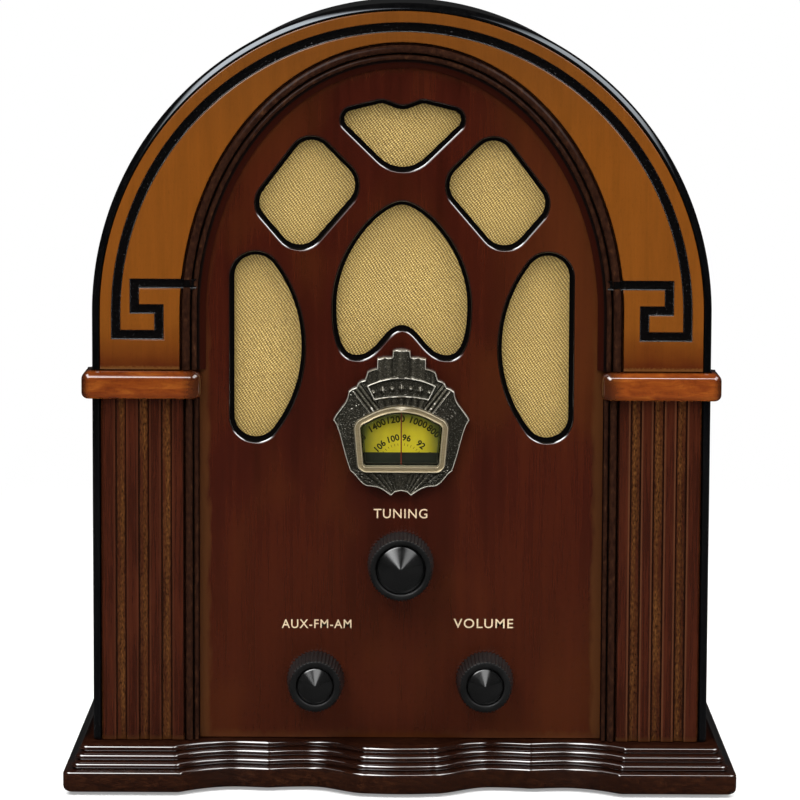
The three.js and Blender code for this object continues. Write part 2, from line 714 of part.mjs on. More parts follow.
// A ribbed skirt with a flat rim, a recess for the cap and a hub that grips the shaft.
function knobSkirt(frontRadius, recessRadius, front, back) {
  const ribs = 24;
  const ribDepth = 0.35;
  const ribbed = Array.from({ length: 2 * ribs }, (_, i) => {
    const angle = Math.PI * i / ribs;
    const radius = frontRadius + 0.35 - (i % 2) * ribDepth;
    return at(radius * Math.cos(angle), radius * Math.sin(angle));
  });
  const recess = rod(recessRadius, front - 1, front + 3.4);
  const cavity = turned([
    [5.2, front + 8], [frontRadius - 1.6, front + 8], [frontRadius - 1.6, back + 1], [5.2, back + 1],
  ], 24);
  const bore = rod(SHAFT_RADIUS + GAP, -8.8, back + 1);
  const hubRelief = rod(5.4, back - 3.6, back + 1);
  return cut(plate(ribbed, front, back), recess, cavity, bore, hubRelief);
}

// A shallow cone with a raised edge, pointing forwards.
function knobCap(radius, front) {
  return turned([
    [0, front - 0.6], [radius * 0.5, front + 0.9], [radius * 0.92, front + 2], [radius, front + 2.4],
    [radius, front + 3], [0, front + 3],
  ]);
}

function addKnob(group, name, radius, recessRadius) {
  const front = -13;
  const back = 4.2;
  add(group, `${name}_knob`, knobSkirt(radius, recessRadius, front, back), blackPlastic);
  add(group, `${name}_knob_cap`, knobCap(recessRadius - GAP, front), blackPlastic);
}

// A round housing with a threaded neck through the panel.
function controlBody(radius, depth) {
  const bodyFront = PANEL_BACK + GAP;
  return turned([
    [SHAFT_RADIUS + GAP, 4.8], [3.6, 4.8], [3.6, bodyFront], [radius, bodyFront],
    [radius, bodyFront + depth], [0, bodyFront + depth], [0, bodyFront + depth - 2],
    [SHAFT_RADIUS + GAP, bodyFront + depth - 2],
  ]);
}

function addControls(radio) {
  addKnob(groupAt(radio, 0, 0, TUNING_Z), "tuning", 12.1, 9.4);

  const volume = groupAt(radio, VOLUME_X, 0, VOLUME_Z);
  addKnob(volume, "volume", 10.3, 7.1);
  add(volume, "volume_shaft", rod(SHAFT_RADIUS, -8.5, 19), steel);
  add(volume, "volume_control", controlBody(8.5, 9), steel);

  const selector = groupAt(radio, -VOLUME_X, 0, VOLUME_Z);
  addKnob(selector, "function", 10.3, 7.1);
  add(selector, "function_shaft", rod(SHAFT_RADIUS, -8.5, 22), steel);
  add(selector, "function_switch", controlBody(11, 12), whitePlastic);
}

// ---------------------------------------------------------------- speaker

function speakerBasket() {
  const front = SPEAKER_FRONT;
  const shell = turned([
    [43.6, front], [SPEAKER_RADIUS, front], [SPEAKER_RADIUS, front + 1.6], [45.2, front + 1.6],
    [27, front + 18.6], [23.5, front + 18.6], [23.5, front + 20], [13, front + 20], [13, front + 17.4],
    [25.6, front + 17.4], [43.6, front + 1.2],
  ], 28);
  const holes = SPEAKER_SCREWS.map(([x, z]) =>
    plate(circle(x, z - SPEAKER_Z, 1.8, 12), front - 1, front + 3));
  const windows = [45, 135, 225, 315].map(radians).map((angle) =>
    box(29, 40, front + 3, front + 17, -9, 9).rotateY(angle));
  return cut(shell, ...holes, ...windows);
}

function addSpeaker(radio) {
  const speaker = groupAt(radio, 0, 0, SPEAKER_Z);
  const front = SPEAKER_FRONT;
  const magnetFront = front + 20 + GAP;
  add(speaker, "speaker_basket", speakerBasket(), steel);
  add(speaker, "speaker_magnet", turned([
    [0, magnetFront], [8.4, magnetFront], [8.4, magnetFront + 9], [11.4, magnetFront + 9],
    [11.4, magnetFront], [24, magnetFront], [24, magnetFront + 14], [0, magnetFront + 14],
  ]), ferrite);
  const formerBack = magnetFront + 6.5;
  add(speaker, "speaker_cone", turned([
    [38.5, front + 2.2], [38.5, front + 3], [11.2, front + 15.6], [10.5, front + 15.6], [10.5, formerBack],
    [9.6, formerBack], [9.6, front + 14.4], [37.6, front + 2.2],
  ], 28), paperCone);
  add(speaker, "speaker_dust_cap", turned([
    [0, front + 9.4], [6, front + 10.2], [10.4, front + 12.4], [12.6, front + 12.4], [10, front + 13.2],
    [0, front + 13.2],
  ], 24), paperCone);
  SPEAKER_SCREWS.forEach(([x, z], i) => {
    const head = front + 1.6 + GAP;
    const screw = turned([
      [0, 9], [1.4, 9], [1.4, head], [3, head], [2.6, head + 1.8], [0, head + 1.8],
    ], 12);
    add(radio, `speaker_screw_${i + 1}`, screw, steel).position.set(x, 0, z);
  });
}

// ---------------------------------------------------------------- chassis and electrics

// Bent sheet: an upright behind the dial drive and a floor on the base.
function chassis() {
  const floor = BASE_HEIGHT + GAP;
  const upright = plate(
    [at(-48, floor), at(48, floor), at(48, 60), at(34, 146), at(-34, 146), at(-48, 60)],
    CHASSIS_FRONT, CHASSIS_FRONT + SHEET, [
      circle(0, DIAL_Z, SHAFT_RADIUS + 0.5), circle(0, TUNING_Z, SHAFT_RADIUS + GAP),
      circle(VOLUME_X, VOLUME_Z, 9.5), circle(-VOLUME_X, VOLUME_Z, 12),
    ]);
  const bottom = box(-62, 62, CHASSIS_FRONT, 136, floor, floor + SHEET);
  const posts = [[-50, 40], [50, 40], [-50, 126], [50, 126]].map(([x, y]) =>
    column(circle(x, y, 3, 12), floor, BOARD_Z - GAP));
  const stud = turned([
    [0, 14.3], [3.2, 14.3], [3.2, 14.7], [2, 14.7], [2, CHASSIS_FRONT - 1], [4, CHASSIS_FRONT - 1],
    [4, CHASSIS_FRONT + SHEET / 2], [0, CHASSIS_FRONT + SHEET / 2],
  ], 20).translate(gears.idler.x, 0, gears.idler.y);
  return join(upright, bottom, stud, ...posts);
}

function transformer(x, y, bottom) {
  const core = box(x - 21, x + 21, y - 9, y + 9, bottom, bottom + 35);
  const winding = box(x - 13, x + 13, y - 16, y + 16, bottom + 6, bottom + 29);
  return join(core, winding);
}

// A strip on the board with an upright clip at each end.
function aerialBracket(y, z) {
  const bottom = BOARD_Z + 1.6 + GAP;
  const side = rounded([[y - 8, bottom], [y + 8, bottom], [y + 8, z + 8, 5], [y - 8, z + 8, 5]]);
  const strip = box(-45, 45, y - 6, y + 6, bottom, bottom + 2);
  const hole = new THREE.CylinderGeometry(5.1, 5.1, 100, 20).rotateZ(Math.PI / 2).translate(0, y, z);
  return cut(join(beam(side, -45, -39), strip, beam(side, 39, 45)), hole);
}

function addElectrics(radio) {
  add(radio, "chassis", chassis(), steel);
  const boardTop = BOARD_Z + 1.6;
  add(radio, "circuit_board", box(-56, 56, 34, 132, BOARD_Z, boardTop), boardGreen);
  add(radio, "mains_transformer", transformer(-86, 90, BASE_HEIGHT + GAP), copper);
  const capacitorFront = CHASSIS_FRONT + SHEET + GAP;
  const capacitor = box(-13, 13, capacitorFront, capacitorFront + 17, DIAL_Z - 13, DIAL_Z + 13);
  const capacitorBore = plate(circle(0, DIAL_Z, SHAFT_RADIUS + GAP), capacitorFront - 1, 31);
  add(radio, "tuning_capacitor", cut(capacitor, capacitorBore), whitePlastic);
  const lamp = turned([
    [0, 15.2], [1.6, 15.6], [2.5, 16.8], [2.5, CHASSIS_FRONT - GAP], [0, CHASSIS_FRONT - GAP],
  ], 16);
  add(radio, "dial_lamp", lamp, lampWhite).position.set(20, 0, DIAL_Z + 12);
  const rodY = 116;
  const rodZ = 52;
  const rodLength = 104;
  const aerialRod = new THREE.CylinderGeometry(4.8, 4.8, rodLength, 20).rotateZ(Math.PI / 2);
  add(radio, "aerial_rod", aerialRod, ferrite).position.set(0, rodY, rodZ);
  const sleeve = turned([[5.1, -14], [6.6, -14], [6.6, 14], [5.1, 14]], 20).rotateZ(Math.PI / 2);
  add(radio, "aerial_coil", sleeve, copper).position.set(12, rodY, rodZ);
  add(radio, "aerial_bracket", aerialBracket(rodY, rodZ), whitePlastic);
}

// ---------------------------------------------------------------- rear cover

function rearCover() {
  const slotPitch = 10;
  const slotHalfWidth = 1.6;
  const slotRows = [[232, 252, 40], [196, 216, 60], [160, 180, 60]];
  const slots = slotRows.flatMap(([bottom, top, reach]) =>
    Array.from({ length: 2 * reach / slotPitch + 1 }, (_, i) => {
      const x = i * slotPitch - reach;
      return box(x - slotHalfWidth, x + slotHalfWidth, COVER_FRONT - 1, COVER_BACK + 1, bottom, top);
    }));
  const cover = plate(archLine(PANEL_RADIUS, PANEL_RADIUS, BASE_HEIGHT + GAP, 32), COVER_FRONT, COVER_BACK);
  const screwHoles = rearScrewPlaces().map(([x, z]) =>
    plate(circle(x, z, 2, 12), COVER_FRONT - 1, COVER_BACK + 1));
  const jackOpening = box(
    -JACK_HALF_WIDTH, JACK_HALF_WIDTH, COVER_FRONT - 1, COVER_BACK + 1, JACK_BOTTOM, JACK_TOP);
  return cut(cover, ...slots, ...screwHoles, jackOpening);
}

// Fills the cover's opening from inside, with a flange behind the cover and three holes.
function jackPlate() {
  const flange = 3;
  const frame = 3;
  const back = COVER_BACK - 0.5;
  const sized = (grow, front, rear) => box(
    -JACK_HALF_WIDTH - grow, JACK_HALF_WIDTH + grow, front, rear, JACK_BOTTOM - grow, JACK_TOP + grow);
  const body = sized(-GAP, COVER_FRONT - 1, back);
  const rim = sized(flange, COVER_FRONT - 2.3, COVER_FRONT - GAP);
  const hollow = sized(-frame, COVER_FRONT - 5, COVER_FRONT + 0.5);
  const middleZ = (JACK_BOTTOM + JACK_TOP) / 2;
  const holes = [[-17, 4], [0, 3], [17, 3]].map(([x, radius]) =>
    plate(circle(x, middleZ, radius, 16), COVER_FRONT - 1, COVER_BACK + 1));
  return cut(join(body, rim), hollow, ...holes);
}

function rearScrewPlaces() {
  return [[-102, 40], [102, 40], [-102, 160], [102, 160]];
}

function addRear(radio) {
  add(radio, "rear_cover", rearCover(), hardboard);
  for (const [name, side] of [["left", -1], ["right", 1]]) {
    const inner = side * (PANEL_RADIUS - 14);
    const outer = side * PANEL_RADIUS;
    const batten = box(Math.min(inner, outer), Math.max(inner, outer), COVER_FRONT - 12.3, COVER_FRONT - GAP,
      BASE_HEIGHT + GAP, 172);
    const holes = rearScrewPlaces().filter(([x]) => x * side > 0)
      .map(([x, z]) => plate(circle(x, z, 1.7, 12), COVER_FRONT - 9, COVER_FRONT));
    add(radio, `cleat_${name}`, cut(batten, ...holes), rawWood);
  }
  rearScrewPlaces().forEach(([x, z], i) => {
    const head = COVER_BACK + GAP;
    const screw = turned([
      [0, COVER_FRONT - 8], [1.4, COVER_FRONT - 8], [1.4, head], [3.4, head], [2.8, head + 1], [0, head + 1],
    ], 12);
    add(radio, `rear_screw_${i + 1}`, screw, steel).position.set(x, 0, z);
  });
  add(radio, "jack_plate", jackPlate(), blackPlastic);
}

// ---------------------------------------------------------------- assembly

const radio = new THREE.Group();
radio.position.set(0, BLOCK_REACH - DEPTH / 2, FOOT_HEIGHT);

addBase(radio);
add(radio, "cabinet_shell", cabinetShell(), blackLacquer);
add(radio, "arch_face", archFace(), archStain);
add(radio, "arch_molding", archMolding(), darkStain);
for (const [name, side] of [["left", -1], ["right", 1]]) {
  add(radio, `pilaster_${name}`, pilaster(side), panelStain);
  add(radio, `capital_${name}`, capital(side), archStain);
  add(radio, `leg_molding_${name}`, legMolding(side), darkStain);
}
add(radio, "baffle_panel", bafflePanel(), panelStain);
add(radio, "grille_cloth", grilleCloth(), cloth);
addDialWindow(radio);
addDialDrive(radio);
addControls(radio);
addSpeaker(radio);
addElectrics(radio);
addRear(radio);

export default radio;
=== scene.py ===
"""A table-top cathedral radio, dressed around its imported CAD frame.

Shapes are drawn in the cabinet's own millimetres: x across, y into the cabinet from the
pilasters' front face, z up from the underside of the base. mesh_piece() turns them into the
frame's metres, and every material works in the same cabinet millimetres.
"""

import math

import bmesh
import bpy
import numpy as np
from mathutils import Matrix, Vector
from mathutils.geometry import delaunay_2d_cdt


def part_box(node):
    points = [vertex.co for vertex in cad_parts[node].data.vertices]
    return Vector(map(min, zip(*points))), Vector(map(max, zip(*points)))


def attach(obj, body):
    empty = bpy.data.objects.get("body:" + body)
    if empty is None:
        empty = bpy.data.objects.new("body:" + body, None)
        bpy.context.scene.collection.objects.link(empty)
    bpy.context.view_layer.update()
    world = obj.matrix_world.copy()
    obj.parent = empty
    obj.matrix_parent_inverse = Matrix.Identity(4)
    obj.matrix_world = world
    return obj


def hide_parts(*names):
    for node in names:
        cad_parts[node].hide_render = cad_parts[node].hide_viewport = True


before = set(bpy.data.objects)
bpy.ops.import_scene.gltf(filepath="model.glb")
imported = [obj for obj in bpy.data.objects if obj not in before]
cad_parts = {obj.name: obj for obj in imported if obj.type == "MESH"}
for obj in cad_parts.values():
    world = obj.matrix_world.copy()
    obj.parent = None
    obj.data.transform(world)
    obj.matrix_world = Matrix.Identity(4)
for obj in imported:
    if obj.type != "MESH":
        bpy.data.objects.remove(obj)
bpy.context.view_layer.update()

MM = 0.001
FACE_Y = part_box("pilaster_left")[0].y
BASE_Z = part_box("base_plinth")[0].z


def cabinet_box(node):
    """A CAD node's lowest and highest corners in cabinet millimetres."""
    return [Vector((corner.x, corner.y - FACE_Y, corner.z - BASE_Z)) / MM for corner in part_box(node)]


def centre_of(node):
    low, high = cabinet_box(node)
    return (low + high) / 2


# ---------------------------------------------------------------- sizes from the frame

_, shell_high = cabinet_box("cabinet_shell")
plinth_low, plinth_high = cabinet_box("base_plinth")
panel_low, panel_high = cabinet_box("baffle_panel")
capital_low, capital_high = cabinet_box("capital_right")
pilaster_low, pilaster_high = cabinet_box("pilaster_right")
_, molding_high = cabinet_box("arch_molding")
disc_low, disc_high = cabinet_box("dial_disc")
cover_low, cover_high = cabinet_box("rear_cover")
cloth_low, cloth_high = cabinet_box("grille_cloth")
lens_low, lens_high = cabinet_box("dial_lens")

CABINET_RADIUS = shell_high.x
SPRING_Z = shell_high.z - CABINET_RADIUS
BASE_HEIGHT = plinth_high.z
FACE_BACK = pilaster_high.y
ARCH_INNER_X = molding_high.x
ARCH_INNER_Z = molding_high.z - SPRING_Z
CAPITAL_BOTTOM = capital_low.z
CAPITAL_TOP = capital_high.z
DIAL_Z = centre_of("dial_disc").z
TUNING_Z = centre_of("tuning_knob").z
VOLUME_X, _, VOLUME_Z = centre_of("volume_shaft")

GAP = 0.3
EDGE_ROUND = 2.8
SLAB_HEIGHT = 8.3
MOLDING_WIDTH = 9.3
FLUTE_CENTRES = (88.3, 96.9, 105.5)
GROOVE_RADIUS = 107.2
GROOVE_WIDTH = 3.4
KEY_TOP = 191.8
KEY_MIDDLE = 182.2
KEY_BOTTOM = 172.5
KEY_OUTER_X = 100.2
KEY_INNER_X = 91
WINDOW_Z = 133

# ---------------------------------------------------------------- outlines in x and z


def arc(centre_x, centre_z, radius_x, radius_z, start, end, steps):
    """Points on an ellipse between two angles in degrees."""
    angles = np.radians(np.linspace(start, end, steps + 1))
    return [(centre_x + radius_x * math.cos(a), centre_z + radius_z * math.sin(a)) for a in angles]


def circle(x, z, radius, steps=48):
    return arc(x, z, radius, radius, 0, 360, steps)[:-1]


def mirrored(points):
    return [(-x, z) for x, z in reversed(points)]


def bezier(start, control1, control2, end, steps):
    """Points on a cubic curve, without its first point."""
    points = []
    for i in range(1, steps + 1):
        t = i / steps
        weights = ((1 - t) ** 3, 3 * t * (1 - t) ** 2, 3 * t * t * (1 - t), t ** 3)
        corners = (start, control1, control2, end)
        points.append(tuple(sum(w * c[k] for w, c in zip(weights, corners)) for k in (0, 1)))
    return points


def rounded(corners, steps=10):
    """A closed outline from corners (x, z, radius), each rounded by an arc of its radius."""
    points = []
    for i, (x, z, radius) in enumerate(corners):
        if radius == 0:
            points.append((x, z))
            continue
        corner = Vector((x, z))
        to_before = (Vector(corners[i - 1][:2]) - corner).normalized()
        to_after = (Vector(corners[(i + 1) % len(corners)][:2]) - corner).normalized()
        half = math.acos(max(-1, min(1, to_before.dot(to_after)))) / 2
        centre = corner + (to_before + to_after).normalized() * radius / math.sin(half)
        start = corner + to_before * radius / math.tan(half) - centre
        cross = to_after.x * to_before.y - to_after.y * to_before.x
        turn = math.copysign(math.pi - 2 * half, cross)
        for angle in np.linspace(0, turn, steps + 1):
            c, s = math.cos(angle), math.sin(angle)
            points.append((centre.x + start.x * c - start.y * s, centre.y + start.x * s + start.y * c))
    return points


def turning(points, counter_clockwise=True):
    """The outline, reversed if it runs the other way round."""
    area = sum(a[0] * b[1] - b[0] * a[1] for a, b in zip(points, points[1:] + points[:1]))
    return points if (area > 0) == counter_clockwise else points[::-1]


def mitres(points, closed):
    """For each point, the left-hand normal of the line through it, stretched for a mitre."""
    line = np.array(points, float)
    ahead = np.roll(line, -1, 0) - line
    if not closed:
        ahead[-1] = ahead[-2]
    ahead /= np.linalg.norm(ahead, axis=1, keepdims=True)
    behind = np.roll(ahead, 1, 0)
    if not closed:
        behind[0] = ahead[0]
    along = ahead + behind
    along /= np.linalg.norm(along, axis=1, keepdims=True)
    normal = np.stack([-along[:, 1], along[:, 0]], 1)
    straight = np.stack([-behind[:, 1], behind[:, 0]], 1)
    stretch = np.clip((normal * straight).sum(1, keepdims=True), 0.35, None)
    return normal / stretch


def offset(points, distance, closed=True):
    moved = np.array(points, float) + mitres(points, closed) * distance
    return [tuple(point) for point in moved]


def divided(points, step, closed=True):
    """The outline with extra points, so that no stretch is longer than a step."""
    result = []
    for a, b in zip(points, points[1:] + points[:closed]):
        count = max(1, math.ceil(math.dist(a, b) / step))
        result += [(a[0] + (b[0] - a[0]) * i / count, a[1] + (b[1] - a[1]) * i / count)
                   for i in range(count)]
    return result if closed else result + [points[-1]]


def quarter(radius, start, end, steps):
    """(inset, rise) pairs on a rounded edge: (radius, 0) at angle 0 and (0, radius) at a right angle."""
    angles = np.linspace(start, end, steps + 1)
    return [(radius * (1 - math.sin(a)), radius * (1 - math.cos(a))) for a in angles]


# ---------------------------------------------------------------- meshes


def add_object(name, data):
    added = bpy.data.objects.new(name, data)
    bpy.context.scene.collection.objects.link(added)
    return added


def mesh_piece(name, points, faces, sharp=38):
    """An object from points in cabinet millimetres, with faces outwards and smooth shading."""
    mesh = bpy.data.meshes.new(name)
    array = np.array(points, float) * MM + np.array([0, FACE_Y, BASE_Z])
    mesh.from_pydata(array.tolist(), [], faces)
    draft = bmesh.new()
    draft.from_mesh(mesh)
    bmesh.ops.recalc_face_normals(draft, faces=draft.faces)
    draft.to_mesh(mesh)
    draft.free()
    mesh.shade_smooth()
    mesh.set_sharp_from_angle(angle=math.radians(sharp))
    return add_object(name, mesh)


def lofted(name, rings, sharp=38, caps=None, looped=False):
    """A solid through rings of points. Unless the last ring joins the first, each end is capped
    by one face, or by the faces that are given for the first ring."""
    count = len(rings[0])
    points = [point for ring in rings for point in ring]
    faces = []
    for ring in range(len(rings) - (not looped)):
        here, there = ring * count, (ring + 1) % len(rings) * count
        faces += [(here + j, here + (j + 1) % count, there + (j + 1) % count, there + j)
                  for j in range(count)]
    if not looped:
        for cap in caps or [tuple(range(count))]:
            faces += [cap, tuple(i + len(points) - count for i in cap)]
    return mesh_piece(name, points, faces, sharp)


def filled(loops):
    """Triangles that fill the first loop around the others, as indices into all their points."""
    flat = [Vector(point) for loop in loops for point in loop]
    edges = []
    for loop in loops:
        start = len(edges)
        edges += [(start + i, start + (i + 1) % len(loop)) for i in range(len(loop))]
    whole_hull = 0
    _, _, triangles, sources, _, _ = delaunay_2d_cdt(flat, edges, [], whole_hull, 1e-7)
    faces = [tuple(sources[corner][0] for corner in triangle) for triangle in triangles]
    places = np.array([tuple(point) for point in flat])
    middles = places[np.array(faces)].mean(1)
    starts, ends = places[[a for a, _ in edges]], places[[b for _, b in edges]]
    return [face for face, kept in zip(faces, enclosed(middles, starts, ends)) if kept]


def enclosed(places, starts, ends):
    """Whether each place has an odd number of the edges above it."""
    x = places[:, :1]
    spans = (starts[:, 0] > x) != (ends[:, 0] > x)
    run = np.where(ends[:, 0] == starts[:, 0], 1, ends[:, 0] - starts[:, 0])
    height = starts[:, 1] + (x - starts[:, 0]) / run * (ends[:, 1] - starts[:, 1])
    return (spans & (height > places[:, 1:])).sum(1) % 2 == 1


def plate(name, outline, holes, section, rim=1.0):
    """A flat piece. Its section is (inset, y) pairs from the front face to the back face, and rim
    scales the inset at the outer outline."""
    loops = [turning(outline)] + [turning(hole, False) for hole in holes]
    levels = [[offset(loop, inset * (1 if i else rim)) for i, loop in enumerate(loops)]
              for inset, _ in section]
    points = [(x, y, z) for level, (_, y) in zip(levels, section) for loop in level for x, z in loop]
    total = sum(len(loop) for loop in loops)
    last = (len(section) - 1) * total
    faces = filled(levels[0]) + [tuple(corner + last for corner in face) for face in filled(levels[-1])]
    for level in range(len(section) - 1):
        start = level * total
        for loop in loops:
            turn = list(range(start, start + len(loop)))
            faces += [(a, b, b + total, a + total) for a, b in zip(turn, turn[1:] + turn[:1])]
            start += len(loop)
    return weighted(mesh_piece(name, points, faces))


def swept(name, path, section, closed=False):
    """A molding: its section of (offset, y) points follows a line in x and z."""
    rings = [[(x + nx * side, y, z + nz * side) for side, y in section]
             for (x, z), (nx, nz) in zip(path, mitres(path, closed))]
    return lofted(name, rings, looped=closed)


def thickened(front, back, faces):
    """Points and faces of a thin solid between two equal sheets of points."""
    count = len(front)
    edges = {edge for face in faces for edge in zip(face, face[1:] + face[:1])}
    rim = [(a, b, b + count, a + count) for a, b in sorted(edges) if (b, a) not in edges]
    behind = [tuple(i + count for i in face[::-1]) for face in faces]
    return front + back, faces + behind + rim


def rib_groove(angle, radius, y, ribs):
    """Depth between a knob's ribs. ribs is their number, depth, smallest radius and front end."""
    count, depth, edge, front = ribs
    if radius < edge or y < front + 0.05:
        return 0.0
    return depth * min(1.0, (y - front) / 0.25) * (0.5 + 0.5 * math.cos(count * angle)) ** 0.6


def turned(name, profile, centre, segments=96, ribs=None, sharp=38):
    """A piece turned about a y axis at centre, from a profile of (radius, y) that starts and ends
    on the axis."""
    points = []
    rings = []
    for radius, y in profile:
        start = len(points)
        if radius == 0:
            rings.append([start] * segments)
            points.append((centre[0], y, centre[1]))
            continue
        rings.append(list(range(start, start + segments)))
        for j in range(segments):
            angle = 2 * math.pi * j / segments
            reach = radius - (rib_groove(angle, radius, y, ribs) if ribs else 0)
            points.append((centre[0] + reach * math.cos(angle), y, centre[1] + reach * math.sin(angle)))
    faces = []
    for lower, upper in zip(rings, rings[1:]):
        for j in range(segments):
            k = (j + 1) % segments
            faces.append(tuple(dict.fromkeys((lower[j], lower[k], upper[k], upper[j]))))
    return mesh_piece(name, points, faces, sharp)


def weighted(piece):
    """Keeps large flat faces flat beside their small rounded edges."""
    modifier = piece.modifiers.new("flat faces", "WEIGHTED_NORMAL")
    modifier.keep_sharp = True
    return piece


# ---------------------------------------------------------------- shader building


def operator(operation, swapped=False):
    """A method that adds a Math node for a value and one more value or number."""
    def build(self, other):
        return self.graph.math(operation, *((other, self) if swapped else (self, other)))
    return build


class Value:
    """A node's output. Arithmetic on it adds nodes, so that a material reads as a formula."""

    __add__ = __radd__ = operator("ADD")
    __sub__ = operator("SUBTRACT")
    __rsub__ = operator("SUBTRACT", True)
    __mul__ = __rmul__ = operator("MULTIPLY")
    __truediv__ = operator("DIVIDE")
    __pow__ = operator("POWER")
    at_least = operator("MAXIMUM")

    def __init__(self, graph, socket):
        self.graph = graph
        self.socket = socket

    def __abs__(self):
        return self.graph.math("ABSOLUTE", self)

    def clamped(self):
        """Kept between 0 and 1."""
        return self.graph.node("Math", {0: self, 1: 0}, operation="ADD", use_clamp=True)

    def step(self, start, end):
        """0 before start and 1 after end, with a smooth rise between them."""
        low, high = (0, 1) if start < end else (1, 0)
        inputs = {"Value": self, "From Min": min(start, end), "From Max": max(start, end)}
        inputs |= {"To Min": low, "To Max": high}
        return self.graph.node("MapRange", inputs, interpolation_type="SMOOTHSTEP")


class Graph:
    """The node tree of a material, a light or the world."""

    def __init__(self, owner):
        owner.use_nodes = True
        self.nodes = owner.node_tree.nodes
        self.links = owner.node_tree.links

    def put(self, socket, value):
        """Links a value to a socket, or sets the socket to a number or a colour."""
        if isinstance(value, Value):
            self.links.new(value.socket, socket)
            return
        if socket.type == "RGBA":
            value = (*value, 1)
        socket.default_value = value

    def node(self, kind, inputs, output=0, **settings):
        """Adds a node and returns one of its outputs."""
        node = self.nodes.new("ShaderNode" + kind)
        for name, setting in settings.items():
            setattr(node, name, setting)
        for key, value in inputs.items():
            self.put(node.inputs[key], value)
        return Value(self, node.outputs[output])

    def math(self, operation, *values):
        return self.node("Math", dict(enumerate(values)), operation=operation)

    def split(self, vector):
        node = self.nodes.new("ShaderNodeSeparateXYZ")
        self.put(node.inputs[0], vector)
        return [Value(self, part) for part in node.outputs]


class Shader(Graph):
    """A node material over a Principled surface, in cabinet millimetres."""

    def __init__(self, name):
        self.material = bpy.data.materials.new(name)
        super().__init__(self.material)
        self.surface = self.nodes["Principled BSDF"]
        moved = self.vector("SUBTRACT", self.node("TexCoord", {}, "Object"), (0, FACE_Y, BASE_Z))
        self.place = self.vector("DIVIDE", moved, (MM, MM, MM))
        self.x, self.y, self.z = self.split(self.place)

    def set(self, **values):
        """Sets inputs of the surface and returns the material."""
        for name, value in values.items():
            self.put(self.surface.inputs[name.replace("_", " ")], value)
        return self.material

    def vector(self, operation, vector, other):
        return self.node("VectorMath", {0: vector, 1: other}, operation=operation)

    def noise(self, sizes, detail=3, roughness=0.55, distortion=0.0):
        """Noise from a place, or with features of a size, or of (across, along) sizes, in mm."""
        if not isinstance(sizes, Value):
            across, along = sizes if isinstance(sizes, tuple) else (sizes, sizes)
            sizes = self.vector("DIVIDE", self.place, (across, across, along))
        inputs = {"Vector": sizes, "Scale": 1, "Detail": detail, "Roughness": roughness}
        return self.node("TexNoise", inputs | {"Distortion": distortion}, "Fac")

    def ramp(self, value, *stops):
        """Colours or numbers at places from 0 to 1."""
        ramp = self.node("ValToRGB", {0: value})
        elements = ramp.socket.node.color_ramp.elements
        while len(elements) < len(stops):
            elements.new(0.5)
        for element, (place, colour) in zip(elements, stops):
            element.position = place
            element.color = (*(colour if isinstance(colour, tuple) else (colour,) * 3), 1)
        return ramp

    def shades(self, value, dark, light):
        """Mostly one of two colours, with a blend between them about a value of 0.5."""
        return self.ramp(value, (0.3, dark), (0.7, light))

    def mix(self, factor, a, b, blend="MIX"):
        inputs = {"Factor": factor, 6: a, 7: b}
        return self.node("Mix", inputs, 2, data_type="RGBA", blend_type=blend)

    def bump(self, height, strength, distance_mm=0.1):
        return self.node("Bump", {"Strength": strength, "Distance": distance_mm * MM, "Height": height})

    def attribute(self, name):
        """A number stored with the mesh's points."""
        return self.node("Attribute", {}, "Fac", attribute_name=name)

    def edges(self, start, end):
        """1 on raised edges, 0 on flat and hollow places."""
        return self.node("NewGeometry", {}, "Pointiness").step(start, end)

    def mix_surfaces(self, factor, first, second):
        """Shows the first surface where the factor is 0 and the second where it is 1."""
        mixed = self.node("MixShader", {0: factor, 1: first, 2: second})
        self.put(self.nodes["Material Output"].inputs["Surface"], mixed)
        return self.material


# ---------------------------------------------------------------- stains and paints, with painted light and shade, linear colour

PANEL_DARK = (0.0105, 0.002, 0.0009)
PANEL_MIDDLE = (0.0222, 0.0035, 0.0017)
PANEL_LIGHT = (0.0385, 0.0069, 0.0023)
PANEL_WARM = (0.040, 0.0095, 0.0023)
# painted light: a lighter, warmer patch on the panel, right of the middle
PANEL_PAINTED_LIGHT = (0.062, 0.0175, 0.004)
PANEL_LOW = (0.0345, 0.0076, 0.0022)
GOLD_RUB = (0.062, 0.024, 0.0065)
PILASTER_MIDDLE = (0.026, 0.0056, 0.0024)
PILASTER_LIGHT = (0.046, 0.0102, 0.004)
# painted reflection on the pilasters' flats
PILASTER_PAINTED_REFLECTION = (0.1, 0.041, 0.018)
# painted shade in the pilasters' flutes
FLUTE_WALL_SHADE = (0.006, 0.002, 0.001)
FLUTE_DARK = (0.016, 0.0055, 0.0016)
FLUTE_GOLD = (0.054, 0.019, 0.0046)
FLUTE_LIGHT = (0.14, 0.056, 0.015)
ARCH_LOW = (0.05, 0.0088, 0.002)
ARCH_SIDE = (0.118, 0.0355, 0.0043)
ARCH_TOP = (0.095, 0.03, 0.0045)
ARCH_RUB = (0.21, 0.1, 0.026)
CAPITAL_DARK = (0.085, 0.015, 0.0028)
CAPITAL_MIDDLE = (0.14, 0.031, 0.0045)
CAPITAL_LIGHT = (0.2, 0.055, 0.0075)
DARK_STAIN = (0.0095, 0.0028, 0.0017)
MOLDING_DARK = (0.0095, 0.0036, 0.0023)
MOLDING_LIGHT = (0.0205, 0.0078, 0.0042)
MOLDING_WORN = (0.046, 0.019, 0.0085)
COVE_STAIN = (0.016, 0.003, 0.0016)
BASE_DARK = (0.005, 0.0015, 0.0008)
BASE_MIDDLE = (0.0125, 0.0036, 0.0015)
BASE_LIGHT = (0.032, 0.0105, 0.004)
